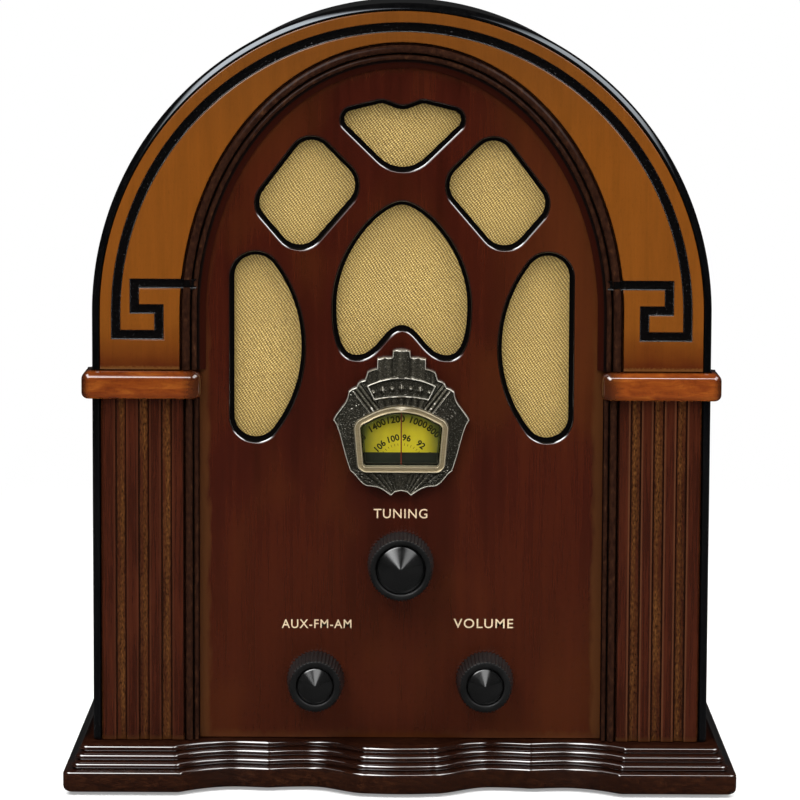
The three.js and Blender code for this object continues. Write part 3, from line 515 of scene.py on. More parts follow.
PORE_STAIN = (0.012, 0.004, 0.002)
# black paint, also used as painted shade in the molding's grooves
BLACK_PAINT_AND_SHADE = (0.0016, 0.0014, 0.0014)
CLOTH_GAP = (0.045, 0.024, 0.002)
CLOTH_DARK = (0.17, 0.105, 0.016)
CLOTH_GOLD = (0.375, 0.25, 0.058)
CLOTH_LIGHT = (0.74, 0.54, 0.2)
SCALE_BRIGHT = (0.56, 0.43, 0.012)
SCALE_MIDDLE = (0.33, 0.26, 0.01)
SCALE_DIM = (0.08, 0.076, 0.008)
SCALE_EDGE = (0.035, 0.036, 0.008)

# ---------------------------------------------------------------- materials


def wood_tone(shader, broad_mm, streak_mm, contrast):
    """Vertical grain as a number about 0.5: broad bands, streaks and fine fibres."""
    broad = shader.noise((broad_mm, broad_mm * 7), 2, 0.5, 0.4)
    streak = shader.noise((streak_mm, streak_mm * 26), 4, 0.6, 0.25)
    fibre = shader.noise((0.32, 7), 3, 0.6)
    total = broad * 0.45 + streak * 0.38 + fibre * 0.17
    return ((total - 0.5) * contrast + 0.5).clamped()


def pores(shader, size=1.0):
    """Short dark pores along the grain: 1 in a pore."""
    return shader.noise((0.2 * size, 2.6 * size), 2, 0.6).step(0.6, 0.72)


def finish_wood(shader, colour, pore, coat=0.8, coat_roughness=0.07, coat_ior=1.5):
    """A stained, lacquered surface: pores darken and dent it, and its gloss varies a little."""
    return shader.set(
        Base_Color=shader.mix(pore * 0.45, colour, PORE_STAIN),
        Roughness=0.6,
        Specular_IOR_Level=0.0,
        Coat_Weight=coat,
        Coat_IOR=coat_ior,
        Coat_Roughness=shader.noise((4, 9)) * 0.05 + coat_roughness,
        Normal=shader.bump(pore * -1, 0.25, 0.05),
        Coat_Normal=shader.bump(shader.noise((2.2, 6)), 0.05),
    )


def panel_wood():
    """Red-brown mahogany stain, rubbed to gold beside the moldings, black in the openings, with painted light
    on a patch right of the middle.
    """
    shader = Shader("panel mahogany")
    tone = wood_tone(shader, 13, 2.2, 1.7)
    colour = shader.ramp(tone, (0.1, PANEL_DARK), (0.5, PANEL_MIDDLE), (0.9, PANEL_LIGHT))
    warm = shader.noise((34, 60), 2).step(0.45, 0.7)
    colour = shader.mix(warm * 0.5, colour, PANEL_WARM)
    colour = shader.mix(shader.z.step(135, 40) * 0.45, colour, PANEL_LOW)
    # painted light: the panel is lightened and warmed on a patch right of the middle
    painted_light = shader.x.step(20, 75) * shader.z.step(110, 190)
    colour = shader.mix(painted_light * 0.45, colour, PANEL_PAINTED_LIGHT)
    colour = shader.mix(rubbed_edge(shader), colour, GOLD_RUB)
    lip = shader.y.step(panel_low.y + 0.08, panel_low.y + 0.3)
    colour = shader.mix(lip, colour, BLACK_PAINT_AND_SHADE)
    outer = shader.y.step(panel_low.y + 0.62, panel_low.y + 0.42)
    coat = outer * (lip * 0.2 + 0.8)
    return finish_wood(shader, colour, pores(shader) * (1 - lip), coat, coat_ior=lip + 1.5)


def rubbed_edge(shader):
    """1 where the stain is rubbed thin, next to the moldings and above the base."""
    half_width = ARCH_INNER_X - MOLDING_WIDTH
    across = shader.x / half_width
    up = (shader.z - SPRING_Z).at_least(0) / (half_width + ARCH_INNER_Z - ARCH_INNER_X)
    blotch = shader.noise((2.5, 9)) - 0.5
    reach = (across ** 2 + up ** 2) ** 0.5 + blotch * 0.05
    beside = reach.step(0.968, 1.0) * (shader.z.step(185, 145) * 0.8 + 0.2)
    below = (shader.z + blotch * 4).step(BASE_HEIGHT + 3.8, BASE_HEIGHT + 1)
    return beside.at_least(below * 0.45) * 0.5


def arch_wood():
    """Lighter orange-brown stain, deeper beside the capitals and over the top."""
    shader = Shader("arch walnut")
    tone = wood_tone(shader, 5, 0.9, 0.9)
    height = shader.z + (shader.noise(16) - 0.5) * 14
    along = (height - CAPITAL_TOP) / 130
    colour = shader.ramp(along, (0.0, ARCH_LOW), (0.13, ARCH_SIDE), (0.62, ARCH_SIDE), (0.9, ARCH_TOP))
    colour = shader.mix(0.75, colour, shader.ramp(tone, (0.15, 0.32), (0.85, 0.72)), "OVERLAY")
    foot = shader.z + shader.noise(0.8, 3, 0.7) * 3
    rubbed = foot.step(CAPITAL_TOP + 3.6, CAPITAL_TOP + 2.2)
    colour = shader.mix(rubbed * 0.38, colour, ARCH_RUB)
    return finish_wood(shader, colour, pores(shader, 0.8))


def capital_wood():
    """Streaked across, shaded at both ends and painted black round the side."""
    shader = Shader("capital stain")
    tone = shader.noise((9, 2.2), 4, 0.6, 0.6)
    colour = shader.ramp(tone, (0.3, CAPITAL_DARK), (0.55, CAPITAL_MIDDLE), (0.75, CAPITAL_LIGHT))
    across = abs(shader.x)
    shaded = across.step(84, 77).at_least(across.step(116.5, 119.6))
    colour = shader.mix(shaded * 0.82, colour, DARK_STAIN)
    colour = shader.mix(shader.y.step(0.5, 4) * 0.85, colour, BLACK_PAINT_AND_SHADE)
    return finish_wood(shader, colour, pores(shader, 0.7), 1.0, 0.02, 1.8)


def pilaster_wood():
    """Mahogany with flutes that are rubbed back to a mottled gold brown, with a painted highlight down each
    flute, painted shade on the flute walls and painted reflections on the flats beside them.
    """
    shader = Shader("pilaster mahogany")
    tone = wood_tone(shader, 6, 1.3, 2.2)
    colour = shader.ramp(tone, (0.1, PANEL_DARK), (0.5, PILASTER_MIDDLE), (0.9, PILASTER_LIGHT))
    mottle = shader.noise((0.55, 1.5), 4, 0.65)
    gold = shader.ramp(mottle, (0.35, FLUTE_DARK), (0.5, FLUTE_GOLD), (0.66, FLUTE_LIGHT))
    across = abs(shader.x)
    painted_flute_highlight = 0.0
    painted_edge_reflection = 0.0
    for centre in FLUTE_CENTRES:
        away = abs(across - centre)
        painted_edge_reflection = away.step(2.1, 2.3) * away.step(2.95, 2.45) + painted_edge_reflection
        painted_flute_highlight = abs(across - centre + 0.45).step(1.1, 0.1) + painted_flute_highlight
    inside = shader.y.step(0.35, 1.1) * shader.y.step(1.6, 1.3)
    patch = shader.noise((5, 30)).step(0.38, 0.62)
    # painted highlight: a paler gold line down each flute, a little off its middle towards the cabinet's
    # centre
    colour = shader.mix(inside * (painted_flute_highlight * 0.42 + patch * 0.4 + 0.12), colour, gold)
    # painted reflection: pale lines on the flats beside each flute, stronger on the right pilaster
    reflection_strength = shader.x.step(-20, 20) * 0.3 + 0.12
    colour = shader.mix(painted_edge_reflection * reflection_strength, colour, PILASTER_PAINTED_REFLECTION)
    # painted shade: the flute walls and the inner rounded edge darkened near the face
    rim = shader.y.step(0.02, 0.12) * shader.y.step(0.95, 0.65) * across.step(108.6, 108.2)
    colour = shader.mix(rim * 0.85, colour, FLUTE_WALL_SHADE)
    foot = shader.z.step(BASE_HEIGHT + 2.6, BASE_HEIGHT + 1)
    colour = shader.mix(foot * 0.3, colour, GOLD_RUB)
    return finish_wood(shader, colour, pores(shader))


def molding_wood():
    """Dark stain, worn in spots along the beads, with painted shade in the grooves between them, crossed by
    the painted line's end.
    """
    shader = Shader("molding stain")
    spots = shader.noise((1.6, 2.4), 4, 0.6)
    colour = shader.ramp(spots, (0.35, MOLDING_DARK), (0.6, MOLDING_LIGHT), (0.75, MOLDING_WORN))
    # painted shade: the grooves between the beads darkened nearly to black
    colour = shader.mix(shader.y.step(1.3, 1.7) * 0.9, colour, BLACK_PAINT_AND_SHADE)
    colour = shader.mix(shader.y.step(2.6, 3.4), colour, COVE_STAIN)
    near_line = abs(shader.z - KEY_TOP).step(1.6, 1.35)
    on_bead = abs(shader.x).step(78.8, 79.3)
    colour = shader.mix(near_line * on_bead, colour, BLACK_PAINT_AND_SHADE)
    return finish_wood(shader, colour, pores(shader, 0.8), 0.16, 0.12, 1.45)


def base_wood():
    """Dark brown under thick lacquer; the ledge behind the reeds is nearly black."""
    shader = Shader("base mahogany")
    tone = shader.noise((3.2, 1.3), 6, 0.78, 0.5)
    colour = shader.ramp(tone, (0.3, BASE_DARK), (0.5, BASE_MIDDLE), (0.72, BASE_LIGHT))
    blotch = shader.noise((26, 12), 2).step(0.42, 0.66)
    colour = shader.mix(blotch * 0.35, colour, BASE_DARK)
    reeds = shader.z.step(SLAB_HEIGHT - 0.8, SLAB_HEIGHT + 0.6)
    colour = shader.mix(reeds * 0.55, colour, DARK_STAIN)
    across = abs(shader.x)
    side = across.step(117, 120) * shader.y.step(2, 16)
    colour = shader.mix(side * 0.85, colour, BLACK_PAINT_AND_SHADE)
    below_ledge = shader.z.step(BASE_HEIGHT - 0.8, BASE_HEIGHT - 1.3)
    slab = shader.z.step(SLAB_HEIGHT - 1.1, SLAB_HEIGHT - 1.8)
    scoops = across.step(50, 60) * across.step(80, 72)
    coat = below_ledge - slab * 0.5
    return finish_wood(shader, colour, pores(shader, 0.6), coat, scoops * 0.11 + 0.01, 2.1)


def black_lacquer():
    """Thick gloss black with a faint orange-peel surface."""
    shader = Shader("black lacquer")
    peel = shader.noise(1.8)
    streak = shader.noise((2, 40))
    return shader.set(
        Base_Color=shader.ramp(streak, (0.35, (0.0006, 0.0006, 0.0007)), (0.7, (0.002, 0.0018, 0.0018))),
        Roughness=peel * 0.1 + 0.05,
        IOR=1.6,
        Specular_Tint=(0.82, 0.91, 1.0),
        Coat_Weight=0.35,
        Coat_Roughness=0.03,
        Normal=shader.bump(peel, 0.03),
    )


def groove_paint():
    """Brushed-on black that pooled in lumps, so that it glints here and there."""
    shader = Shader("groove paint")
    lumps = shader.noise(0.8, 3, 0.7)
    wall_line = shader.y.step(0.45, 0.2)
    return shader.set(
        Base_Color=shader.shades(lumps, 0.001, (0.003, 0.0025, 0.0025)),
        Roughness=0.1,
        Specular_IOR_Level=lumps.step(0.65, 0.7).at_least(wall_line * 0.9),
        Normal=shader.bump(lumps, 1.0, 0.5),
    )


def woven_cloth():
    """Gold grille cloth: round threads crossing in a slightly slanted plain weave."""
    shader = Shader("grille cloth")
    pitch = 1.26
    wander = shader.noise(9, 2)
    column = (shader.x - shader.z * 0.3 + wander * 1.2) / pitch
    row = (shader.z + wander * 0.8) / pitch
    warp, weft = (shader.math("SINE", thread * (2 * math.pi)) for thread in (column, row))
    ply = shader.noise((0.55, 0.4), 3, 0.75) - 0.5
    height = (warp * weft * 0.4 + 0.5 + ply * 1.3).clamped()
    threads = ((0.05, CLOTH_GAP), (0.34, CLOTH_DARK), (0.66, CLOTH_GOLD), (0.97, CLOTH_LIGHT))
    patch = shader.noise(14, 2) * 0.4 + 0.8
    return shader.set(
        Base_Color=shader.mix(0.6, shader.ramp(height, *threads), patch, "MULTIPLY"),
        Roughness=0.6,
        Sheen_Weight=0.15,
        Sheen_Roughness=0.4,
        Normal=shader.bump(height, 0.8, 0.25),
    )


def pewter():
    """Antiqued cast metal: dark in the hollows, rubbed bright on raised edges, with a painted highlight on
    the ridges round the plate and its banner.
    """
    shader = Shader("antique pewter")
    patina = shader.noise(0.8, 4, 0.65)
    rim_highlight = shader.attribute("polish")
    hollow = shader.attribute("relief").step(0.8, 0.1)
    specks = shader.noise(0.4, 2).step(0.6, 0.7) * 0.42
    # worn also carries the painted highlight on the rim and banner ridges
    worn = (shader.edges(0.516, 0.575) * 0.7).at_least(specks).at_least(rim_highlight)
    colour = shader.shades(patina, (0.034, 0.032, 0.023), (0.14, 0.127, 0.096))
    colour = shader.mix(hollow * 0.7, colour, (0.022, 0.021, 0.016))
    return shader.set(
        Base_Color=shader.mix(worn, colour, (0.8, 0.76, 0.66)),
        Metallic=1.0 - rim_highlight * 0.4,
        Roughness=0.48 - worn * 0.15,
        Normal=shader.bump(shader.noise(0.3, 3, 0.7), 0.5, 0.12),
    )


def metal(name, dark, light, roughness, brushed, metallic):
    """Plain metal with fine wear and a brushed or turned surface."""
    shader = Shader(name)
    wear = shader.noise(brushed, 4, 0.6)
    return shader.set(
        Base_Color=shader.shades(wear, dark, light),
        Metallic=metallic,
        Roughness=wear * 0.16 + roughness,
        Normal=shader.bump(wear, 0.08, 0.05),
    )


def bezel_brass():
    """Old brass, brushed along the ring and rubbed bright on its edges."""
    shader = Shader("bezel brass")
    brushed = shader.noise((2.5, 0.15), 4, 0.6)
    colour = shader.shades(brushed, (0.195, 0.152, 0.082), (0.31, 0.247, 0.142))
    return shader.set(
        Base_Color=shader.mix(shader.edges(0.53, 0.62), colour, (0.95, 0.86, 0.66)),
        Metallic=0.6,
        Roughness=brushed * 0.15 + 0.33,
        Normal=shader.bump(brushed, 0.08, 0.05),
    )


def plastic(name, dark, light, roughness, grain=0.35, strength=0.12, coat=0.0, specular=0.5):
    """Moulded plastic with a slightly uneven, finely grained surface."""
    shader = Shader(name)
    fine = shader.noise(grain, 3, 0.7)
    return shader.set(
        Base_Color=shader.shades(shader.noise(6), dark, light),
        Roughness=fine * 0.12 + roughness,
        Specular_IOR_Level=specular,
        Coat_Weight=coat,
        Coat_Roughness=0.06,
        Normal=shader.bump(fine, strength, 0.05),
    )


def clear_lens():
    """Thin clear window: see-through, with a reflection that grows towards its edges."""
    shader = Shader("clear lens")
    scuffs = shader.noise((0.4, 3), 4, 0.7)
    clear = shader.node("BsdfTransparent", {0: (0.93, 0.96, 0.9)})
    gloss = shader.node("BsdfGlossy", {"Roughness": scuffs * 0.08})
    reflected = shader.node("Fresnel", {"IOR": 1.3})
    from_behind = shader.node("NewGeometry", {}, "Backfacing")
    return shader.mix_surfaces(reflected * (1 - from_behind), clear, gloss)


def glowing_scale():
    """Back-lit scale, with the lamp's light painted on as a glow that the scale gives off; the glow is
    centred on the lamp behind it and stays with the cabinet while the disc turns.
    """
    shader = Shader("lit scale")
    place = shader.node("NewGeometry", {}, "Position")
    from_lamp = shader.vector("SUBTRACT", place, (0, 0, BASE_Z + (DIAL_Z + 8) * MM))
    across, _, up = shader.split(shader.vector("DIVIDE", from_lamp, (15 * MM, 1, 12.5 * MM)))
    cloud = shader.noise(shader.vector("DIVIDE", place, (7 * MM, 7 * MM, 7 * MM)), 2) - 0.5
    reach = abs(across) ** 2.6 + abs(up) ** 2.6 + cloud * 0.5
    # painted light: the scale's glow, brightest near the lamp behind it
    painted_light = ((0.0, SCALE_BRIGHT), (0.4, SCALE_MIDDLE), (0.85, SCALE_DIM), (1.0, SCALE_EDGE))
    return shader.set(
        Base_Color=(0.03, 0.028, 0.007),
        Roughness=0.55,
        Emission_Color=shader.ramp(reach, *painted_light),
        Emission_Strength=1.0,
        Normal=shader.bump(shader.noise(0.5), 0.1, 0.05),
    )


def scale_ink():
    shader = Shader("scale ink")
    mottle = shader.noise(0.3, 2)
    return shader.set(Base_Color=shader.shades(mottle, (0.002, 0.002, 0.001), (0.012, 0.012, 0.004)),
                      Roughness=0.6)


def label_paint():
    """Cream-gold screen print, a little uneven."""
    shader = Shader("label paint")
    mottle = shader.noise(0.5, 3, 0.7)
    return shader.set(
        Base_Color=shader.ramp(mottle, (0.3, (0.4, 0.295, 0.18)), (0.65, (0.64, 0.5, 0.335))),
        Roughness=0.4,
        Normal=shader.bump(mottle, 0.2, 0.04),
    )


def hardboard():
    """Pressed fibre board: brown, matt and fibrous."""
    shader = Shader("hardboard")
    fibre = shader.noise(0.8, 5, 0.7, 1.5)
    mixed = shader.noise(20, 2) * 0.4 + fibre * 0.6
    browns = ((0.3, (0.05, 0.026, 0.013)), (0.5, (0.095, 0.052, 0.027)), (0.68, (0.14, 0.083, 0.046)))
    return shader.set(
        Base_Color=shader.ramp(mixed, *browns),
        Roughness=0.75,
        Normal=shader.bump(fibre, 0.4, 0.12),
    )


def raw_wood():
    shader = Shader("raw pine")
    tone = wood_tone(shader, 8, 1.2, 1.8)
    colour = shader.ramp(tone, (0.1, (0.2, 0.115, 0.052)), (0.9, (0.42, 0.28, 0.15)))
    return finish_wood(shader, colour, pores(shader), 0.0)


def dusty(name, dark, light, roughness):
    """Matt parts inside the cabinet: paper, ferrite, board and winding."""
    shader = Shader(name)
    fine = shader.noise(0.7, 4, 0.7)
    return shader.set(
        Base_Color=shader.shades(fine, dark, light),
        Roughness=roughness,
        Normal=shader.bump(fine, 0.25),
    )


materials = {
    "panel_stain": panel_wood(),
    "arch_stain": arch_wood(),
    "capital": capital_wood(),
    "pilaster": pilaster_wood(),
    "dark_stain": molding_wood(),
    "base": base_wood(),
    "black_lacquer": black_lacquer(),
    "groove": groove_paint(),
    "grille_cloth": woven_cloth(),
    "pewter": pewter(),
    "bezel_brass": bezel_brass(),
    "clear_lens": clear_lens(),
    "scale_print": glowing_scale(),
    "ink": scale_ink(),
    "label": label_paint(),
    "hardboard": hardboard(),
    "raw_wood": raw_wood(),
    "black_plastic": plastic("knob plastic", 0.002, 0.0042, 0.25, specular=0.22),
    "gloss_plastic": plastic("cap plastic", 0.003, 0.005, 0.1, 3.0, 0.03, 1.0),
    "mask": plastic("mask plastic", (0.008, 0.008, 0.006), (0.014, 0.014, 0.01), 0.4),
    "white_plastic": plastic("white plastic", (0.5, 0.48, 0.42), (0.62, 0.6, 0.54), 0.4),
    "rubber_feet": plastic("rubber", 0.008, 0.016, 0.75, 0.25, 0.4),
    "red_paint": plastic("red paint", (0.11, 0.008, 0.004), (0.17, 0.014, 0.006), 0.4),
    "plain_steel": metal("zinc steel", 0.3, (0.52, 0.52, 0.5), 0.3, 0.5, 0.65),
    "shaft_brass": metal("turned brass", (0.45, 0.3, 0.11), (0.68, 0.48, 0.2), 0.25, (0.15, 3), 0.7),
    "speaker_paper": dusty("speaker paper", (0.012, 0.011, 0.01), (0.03, 0.028, 0.025), 0.95),
    "magnet_ferrite": dusty("ferrite", (0.03, 0.03, 0.032), (0.06, 0.06, 0.062), 0.6),
    "board": dusty("board", (0.018, 0.075, 0.03), (0.03, 0.11, 0.045), 0.45),
    "copper_winding": dusty("winding", (0.2, 0.075, 0.03), (0.4, 0.16, 0.07), 0.5),
    "lamp": plastic("lamp glass", (0.8, 0.68, 0.35), (0.95, 0.85, 0.5), 0.1),
}


def dress(piece, material):
    piece.data.materials.clear()
    piece.data.materials.append(materials[material])


def finished(piece, material, slot, *nodes, body="cabinet"):
    """Gives a piece its material and body, and hides the CAD nodes it stands for; its slot is not used."""
    dress(piece, material)
    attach(piece, body)
    if nodes:
        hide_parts(*nodes)


# ---------------------------------------------------------------- base

CORNER_BLOCK_Y = -12


def front_edge(x):
    """Depth of the base's front edge across it: corner block, scoop, ridge, hollow, centre block."""
    across = np.abs(x)
    scoop = CORNER_BLOCK_Y + 10.6 * np.sin(np.clip((82.5 - across) / 20.5, 0, 1) * np.pi / 2) ** 0.9
    ridge = -1.4 - 1.9 * np.clip((62 - across) / 12.5, 0, 1) ** 1.3
    hollow = -1 - 2.3 * np.clip((across - 34.5) / 15, 0, 1) ** 2
    swell = -1 - 11.8 * (1 - np.cos(np.clip((34.5 - across) / 22, 0, 1) * np.pi)) / 2
    centre = plinth_low.y - (plinth_low.y + 12.8) * (across / 12.5) ** 2
    places = [across >= 82.5, across >= 62, across >= 49.5, across >= 34.5, across >= 12.5]
    block = np.full_like(across, CORNER_BLOCK_Y)
    return np.select(places, [block, scoop, ridge, hollow, swell], centre)


def inset_edge(x, inset):
    """The front edge moved back by a routed step, as a round cutter of that radius leaves it."""
    reaches = inset * np.linspace(-1, 1, 41)
    moved = [front_edge(x + reach) + np.sqrt(max(0, inset ** 2 - reach ** 2)) for reach in reaches]
    return np.max(moved, 0)


def base_ring(inset, height):
    """The base's outline at a height, drawn in by an inset that is small at the back."""
    corner = 2.5
    side = plinth_high.x - inset
    back = plinth_high.y - inset * 0.05
    across = np.linspace(-side + corner, side - corner, 381)
    right = arc(side - corner, CORNER_BLOCK_Y + inset + corner, corner, corner, 270, 360, 8)[1:]
    plan = mirrored(right) + list(zip(across, inset_edge(across, inset))) + right
    return [(x, y, height) for x, y in plan + [(side, back), (-side, back)]]


def base_section():
    """(inset, z) from the underside to the ledge: slab with a rounded edge, then three reeds."""
    section = [(2.6, 0), (1.5, 0.25), (0.7, 0.8), (0.2, 1.7), (0, 2.8)]
    section += [(inset, SLAB_HEIGHT - rise) for inset, rise in quarter(1.1, math.pi / 2, 0.15, 6)]
    pitch = (BASE_HEIGHT - 0.4 - SLAB_HEIGHT) / 3
    radius = pitch * 0.42
    for reed in range(3):
        bottom = SLAB_HEIGHT + pitch * reed
        inset = 3 + 1.5 * reed
        section.append((inset + 0.35, bottom + 0.12))
        section += [(inset + radius * (1 - math.cos(a)), bottom + pitch * 0.46 + radius * math.sin(a))
                    for a in np.radians(np.linspace(-70, 78, 11))]
    return section + [(7.6, BASE_HEIGHT - 0.5), (8, BASE_HEIGHT - 0.2), (8, BASE_HEIGHT)]


def make_base():
    rings = [base_ring(inset, height) for inset, height in base_section()]
    finished(lofted("base_plinth_wood", rings, 50), "base", "black_lacquer", "base_plinth")
    for name in ("foot_front_left", "foot_front_right", "foot_rear_left", "foot_rear_right"):
        low, high = cabinet_box(name)
        middle = (low + high) / 2
        radius = high.x - middle.x
        section = [(1.3, low.z), (0.8, low.z + 0.1), (0.4, low.z + 0.6), (0.1, high.z - 0.2), (0, high.z)]
        rings = [[(x, y, height) for x, y in circle(middle.x, middle.y, radius - inset)]
                 for inset, height in section]
        finished(lofted(f"{name}_pad", rings), "rubber_feet", "rubber_feet", name)


# ---------------------------------------------------------------- cabinet

SIDES = (("left", -1), ("right", 1))


def arch_line(radius_x, radius_z, bottom, steps=120):
    """Up the left side, over the top and down the right side."""
    legs = max(1, round((SPRING_Z - bottom) / 12))
    left = [(-radius_x, bottom + (SPRING_Z - bottom) * i / legs) for i in range(legs)]
    return left + arc(0, SPRING_Z, radius_x, radius_z, 180, 0, steps) + mirrored(left)


def make_shell():
    back = shell_high.y
    ledge = panel_low.y + 0.2
    section = [(0, back - 0.6), (-0.2, back - 0.15), (-0.6, back), (-6, back), (-6, ledge)]
    section += [(-EDGE_ROUND, ledge)]
    section += [(-inset, rise) for inset, rise in quarter(EDGE_ROUND, 0, math.pi / 2, 14)]
    path = arch_line(CABINET_RADIUS, CABINET_RADIUS, BASE_HEIGHT + GAP, 160)
    shell = weighted(swept("cabinet_shell_lacquer", path, section))
    finished(shell, "black_lacquer", "black_lacquer", "cabinet_shell")


def groove_line():
    """From the molding round a squared key, over the arch and round the other key."""
    key = [(GROOVE_RADIUS, KEY_BOTTOM), (KEY_INNER_X, KEY_BOTTOM), (KEY_INNER_X, KEY_MIDDLE),
           (KEY_OUTER_X, KEY_MIDDLE), (KEY_OUTER_X, KEY_TOP), (ARCH_INNER_X - 6, KEY_TOP)]
    return mirrored(key) + arc(0, SPRING_Z, GROOVE_RADIUS, GROOVE_RADIUS, 180, 0, 150) + key


def groove_side(distance):
    """The groove's line moved sideways, with its ends drawn back under the molding's edge."""
    end_x = ARCH_INNER_X - 0.2
    return [(math.copysign(end_x, x), z) if abs(x) < end_x and z < KEY_TOP + 3 else (x, z)
            for x, z in offset(groove_line(), distance, False)]


def make_arch_face():
    """Two flat pieces, outside and inside of a painted groove."""
    half = GROOVE_WIDTH / 2
    bottom = CAPITAL_TOP + GAP
    outer_radius = CABINET_RADIUS - EDGE_ROUND - GAP
    outer = arch_line(outer_radius, outer_radius, bottom, 150)
    inner = arch_line(ARCH_INNER_X + GAP, ARCH_INNER_Z + GAP, bottom, 130)
    right_foot = [(x, z) for x, z in inner if z < KEY_TOP - half - 0.3 and x > 0]
    above = [(x, z) for x, z in inner if z > KEY_TOP + half + 0.3]
    band = outer + right_foot[::-1] + groove_side(half)[::-1] + mirrored(right_foot)[::-1]
    field = above + groove_side(-half)[::-1]
    section = quarter(0.45, 0, math.pi / 2, 4) + [(0, 0.9), (0, FACE_BACK)]
    finished(plate("arch_face_band", band, [], section), "arch_stain", "arch_stain", "arch_face")
    finished(plate("arch_face_field", field, [], section), "arch_stain", "arch_stain")
    wall = [(-half, 3), (-half, 0.1), (0.2 - half, 0.24), (0.45 - half, 0.48), (0.8 - half, 0.66), (0, 0.74)]
    groove = swept("arch_groove_paint", divided(groove_line(), 2, False), wall + mirrored(wall)[1:])
    finished(groove, "groove", "black_lacquer")


def bead(centre, radius, y, steps=10):
    return arc(centre, y, radius, -radius, 0, 180, steps)


def make_moldings():
    section = [(0, FACE_BACK), (0, 1.2), (-0.25, 0.9), (-0.55, 1.4), *bead(-2.05, 1.45, 0.75)]
    section += [(-3.55, 1.9), (-4.2, 2.2), *bead(-5.15, 0.95, 1.5), (-6.2, 2.5), (-6.9, 2.7), (-7.5, 3.5)]
    section += [(-8.2, 4.4), (-MOLDING_WIDTH, 5.1), (-MOLDING_WIDTH, FACE_BACK)]
    path = arch_line(ARCH_INNER_X, ARCH_INNER_Z, CAPITAL_TOP + GAP, 150)
    finished(swept("arch_molding_wood", path, section), "dark_stain", "dark_stain", "arch_molding")
    section = [(0, FACE_BACK), (0, 1.6), *bead(-1.6, 1.25, 1), (-2.95, 2.1), (-3.45, 2.3)]
    section += [*bead(-4.3, 0.8, 1.6), (-5.2, 2.4), (-5.4, 2.6), (-5.4, FACE_BACK)]
    leg_x = cabinet_box("leg_molding_right")[1].x
    for name, side in SIDES:
        path = divided([(side * leg_x, BASE_HEIGHT + GAP), (side * leg_x, CAPITAL_BOTTOM - GAP)], 10, False)
        leg = swept(f"leg_molding_{name}_wood", path, [(-side * inwards, y) for inwards, y in section])
        finished(leg, "dark_stain", "dark_stain", f"leg_molding_{name}")


def make_pilasters():
    round_inside, round_outside = 0.8, 2.2
    flute, depth = 2.05, 1.15
    inner, outer = pilaster_low.x, pilaster_high.x
    plan = [(inner, FACE_BACK), (inner, round_inside)]
    plan += [(inner + inset, y) for inset, y in quarter(round_inside, math.pi / 2 - 0.2, 0, 5)]
    for centre in FLUTE_CENTRES:
        plan.append((centre - flute - 0.25, 0))
        plan += arc(centre, 0, flute, depth, 180, 0, 16)
        plan.append((centre + flute + 0.25, 0))
    plan += [(outer - inset, y) for inset, y in quarter(round_outside, 0, math.pi / 2 - 0.1, 8)]
    plan += [(outer, round_outside), (outer, FACE_BACK)]
    cap = filled([plan])
    heights = np.linspace(BASE_HEIGHT + GAP, CAPITAL_BOTTOM - GAP, 14)
    for name, side in SIDES:
        rings = [[(side * x, y, z) for x, y in plan] for z in heights]
        pilaster = weighted(lofted(f"pilaster_{name}_wood", rings, caps=cap))
        finished(pilaster, "pilaster", "panel_stain", f"pilaster_{name}")


def make_capitals():
    """A bar with rounded front edges that wraps round the cabinet's side."""
    outer, inner = capital_high.x, capital_low.x
    front, back = capital_low.y, capital_high.y
    lip = CABINET_RADIUS - EDGE_ROUND - GAP
    wall = CABINET_RADIUS + GAP
    plan = turning(rounded([
        (outer, front, 3), (outer, back, 1.2), (wall, back, 0), (wall, -GAP, 0), (lip, -GAP, 0),
        (lip, FACE_BACK, 0), (inner, FACE_BACK, 0), (inner, front, 4),
    ]))

    def ring(inset, height, side):
        """The plan drawn in by an inset, except where it lies against the cabinet."""
        points = []
        for (x, y), (nx, ny) in zip(plan, mitres(plan, True)):
            free = y < -GAP - 0.1 or x > wall + 0.5 or x < inner + 0.05
            thin = x > wall and y > 1
            reach = free * (min(inset, (outer - wall) * 0.55) if thin else inset)
            points.append((side * (x + nx * reach), y + ny * reach, height))
        return points

    levels = [(inset, CAPITAL_BOTTOM + rise) for inset, rise in quarter(2.4, 0.12, math.pi / 2, 8)]
    levels += [(inset, CAPITAL_TOP - rise) for inset, rise in quarter(3, math.pi / 2, 0.12, 10)]
    cap = filled([plan])
    for name, side in SIDES:
        rings = [ring(inset, height, side) for inset, height in levels]
        capital = weighted(lofted(f"capital_{name}_wood", rings, 45, cap))
        finished(capital, "capital", "arch_stain", f"capital_{name}")


# ---------------------------------------------------------------- panel, openings and cloth


def top_opening():
    return rounded([
        (0, 258.4, 6), (-7.5, 261.2, 6), (-29, 256, 5.2), (0, 227.8, 14), (29, 256, 5.2), (7.5, 261.2, 6),
    ])


def diamond_opening():
    return rounded([(-35, 251, 8.5), (-57.5, 221.5, 8.5), (-38.5, 199.5, 9.5), (-13, 229, 9.5)])


def bulge_opening():
    """Straight on its outer side and bulging towards the middle, with both tips rounded."""
    bulge_x, bulge_z, bulge_radius, tip_radius = -89.2, 167.5, 52.7, 9.5
    tip_x = -64.5 + tip_radius
    tip_rise = math.sqrt((bulge_radius - tip_radius) ** 2 - (tip_x - bulge_x) ** 2)
    lean = math.degrees(math.atan2(tip_rise, tip_x - bulge_x))
    outline = arc(tip_x, bulge_z + tip_rise, tip_radius, tip_radius, 180, lean, 24)
    outline += arc(bulge_x, bulge_z, bulge_radius, bulge_radius, lean, -lean, 32)[1:-1]
    return outline + arc(tip_x, bulge_z - tip_rise, tip_radius, tip_radius, -lean, -180, 24)


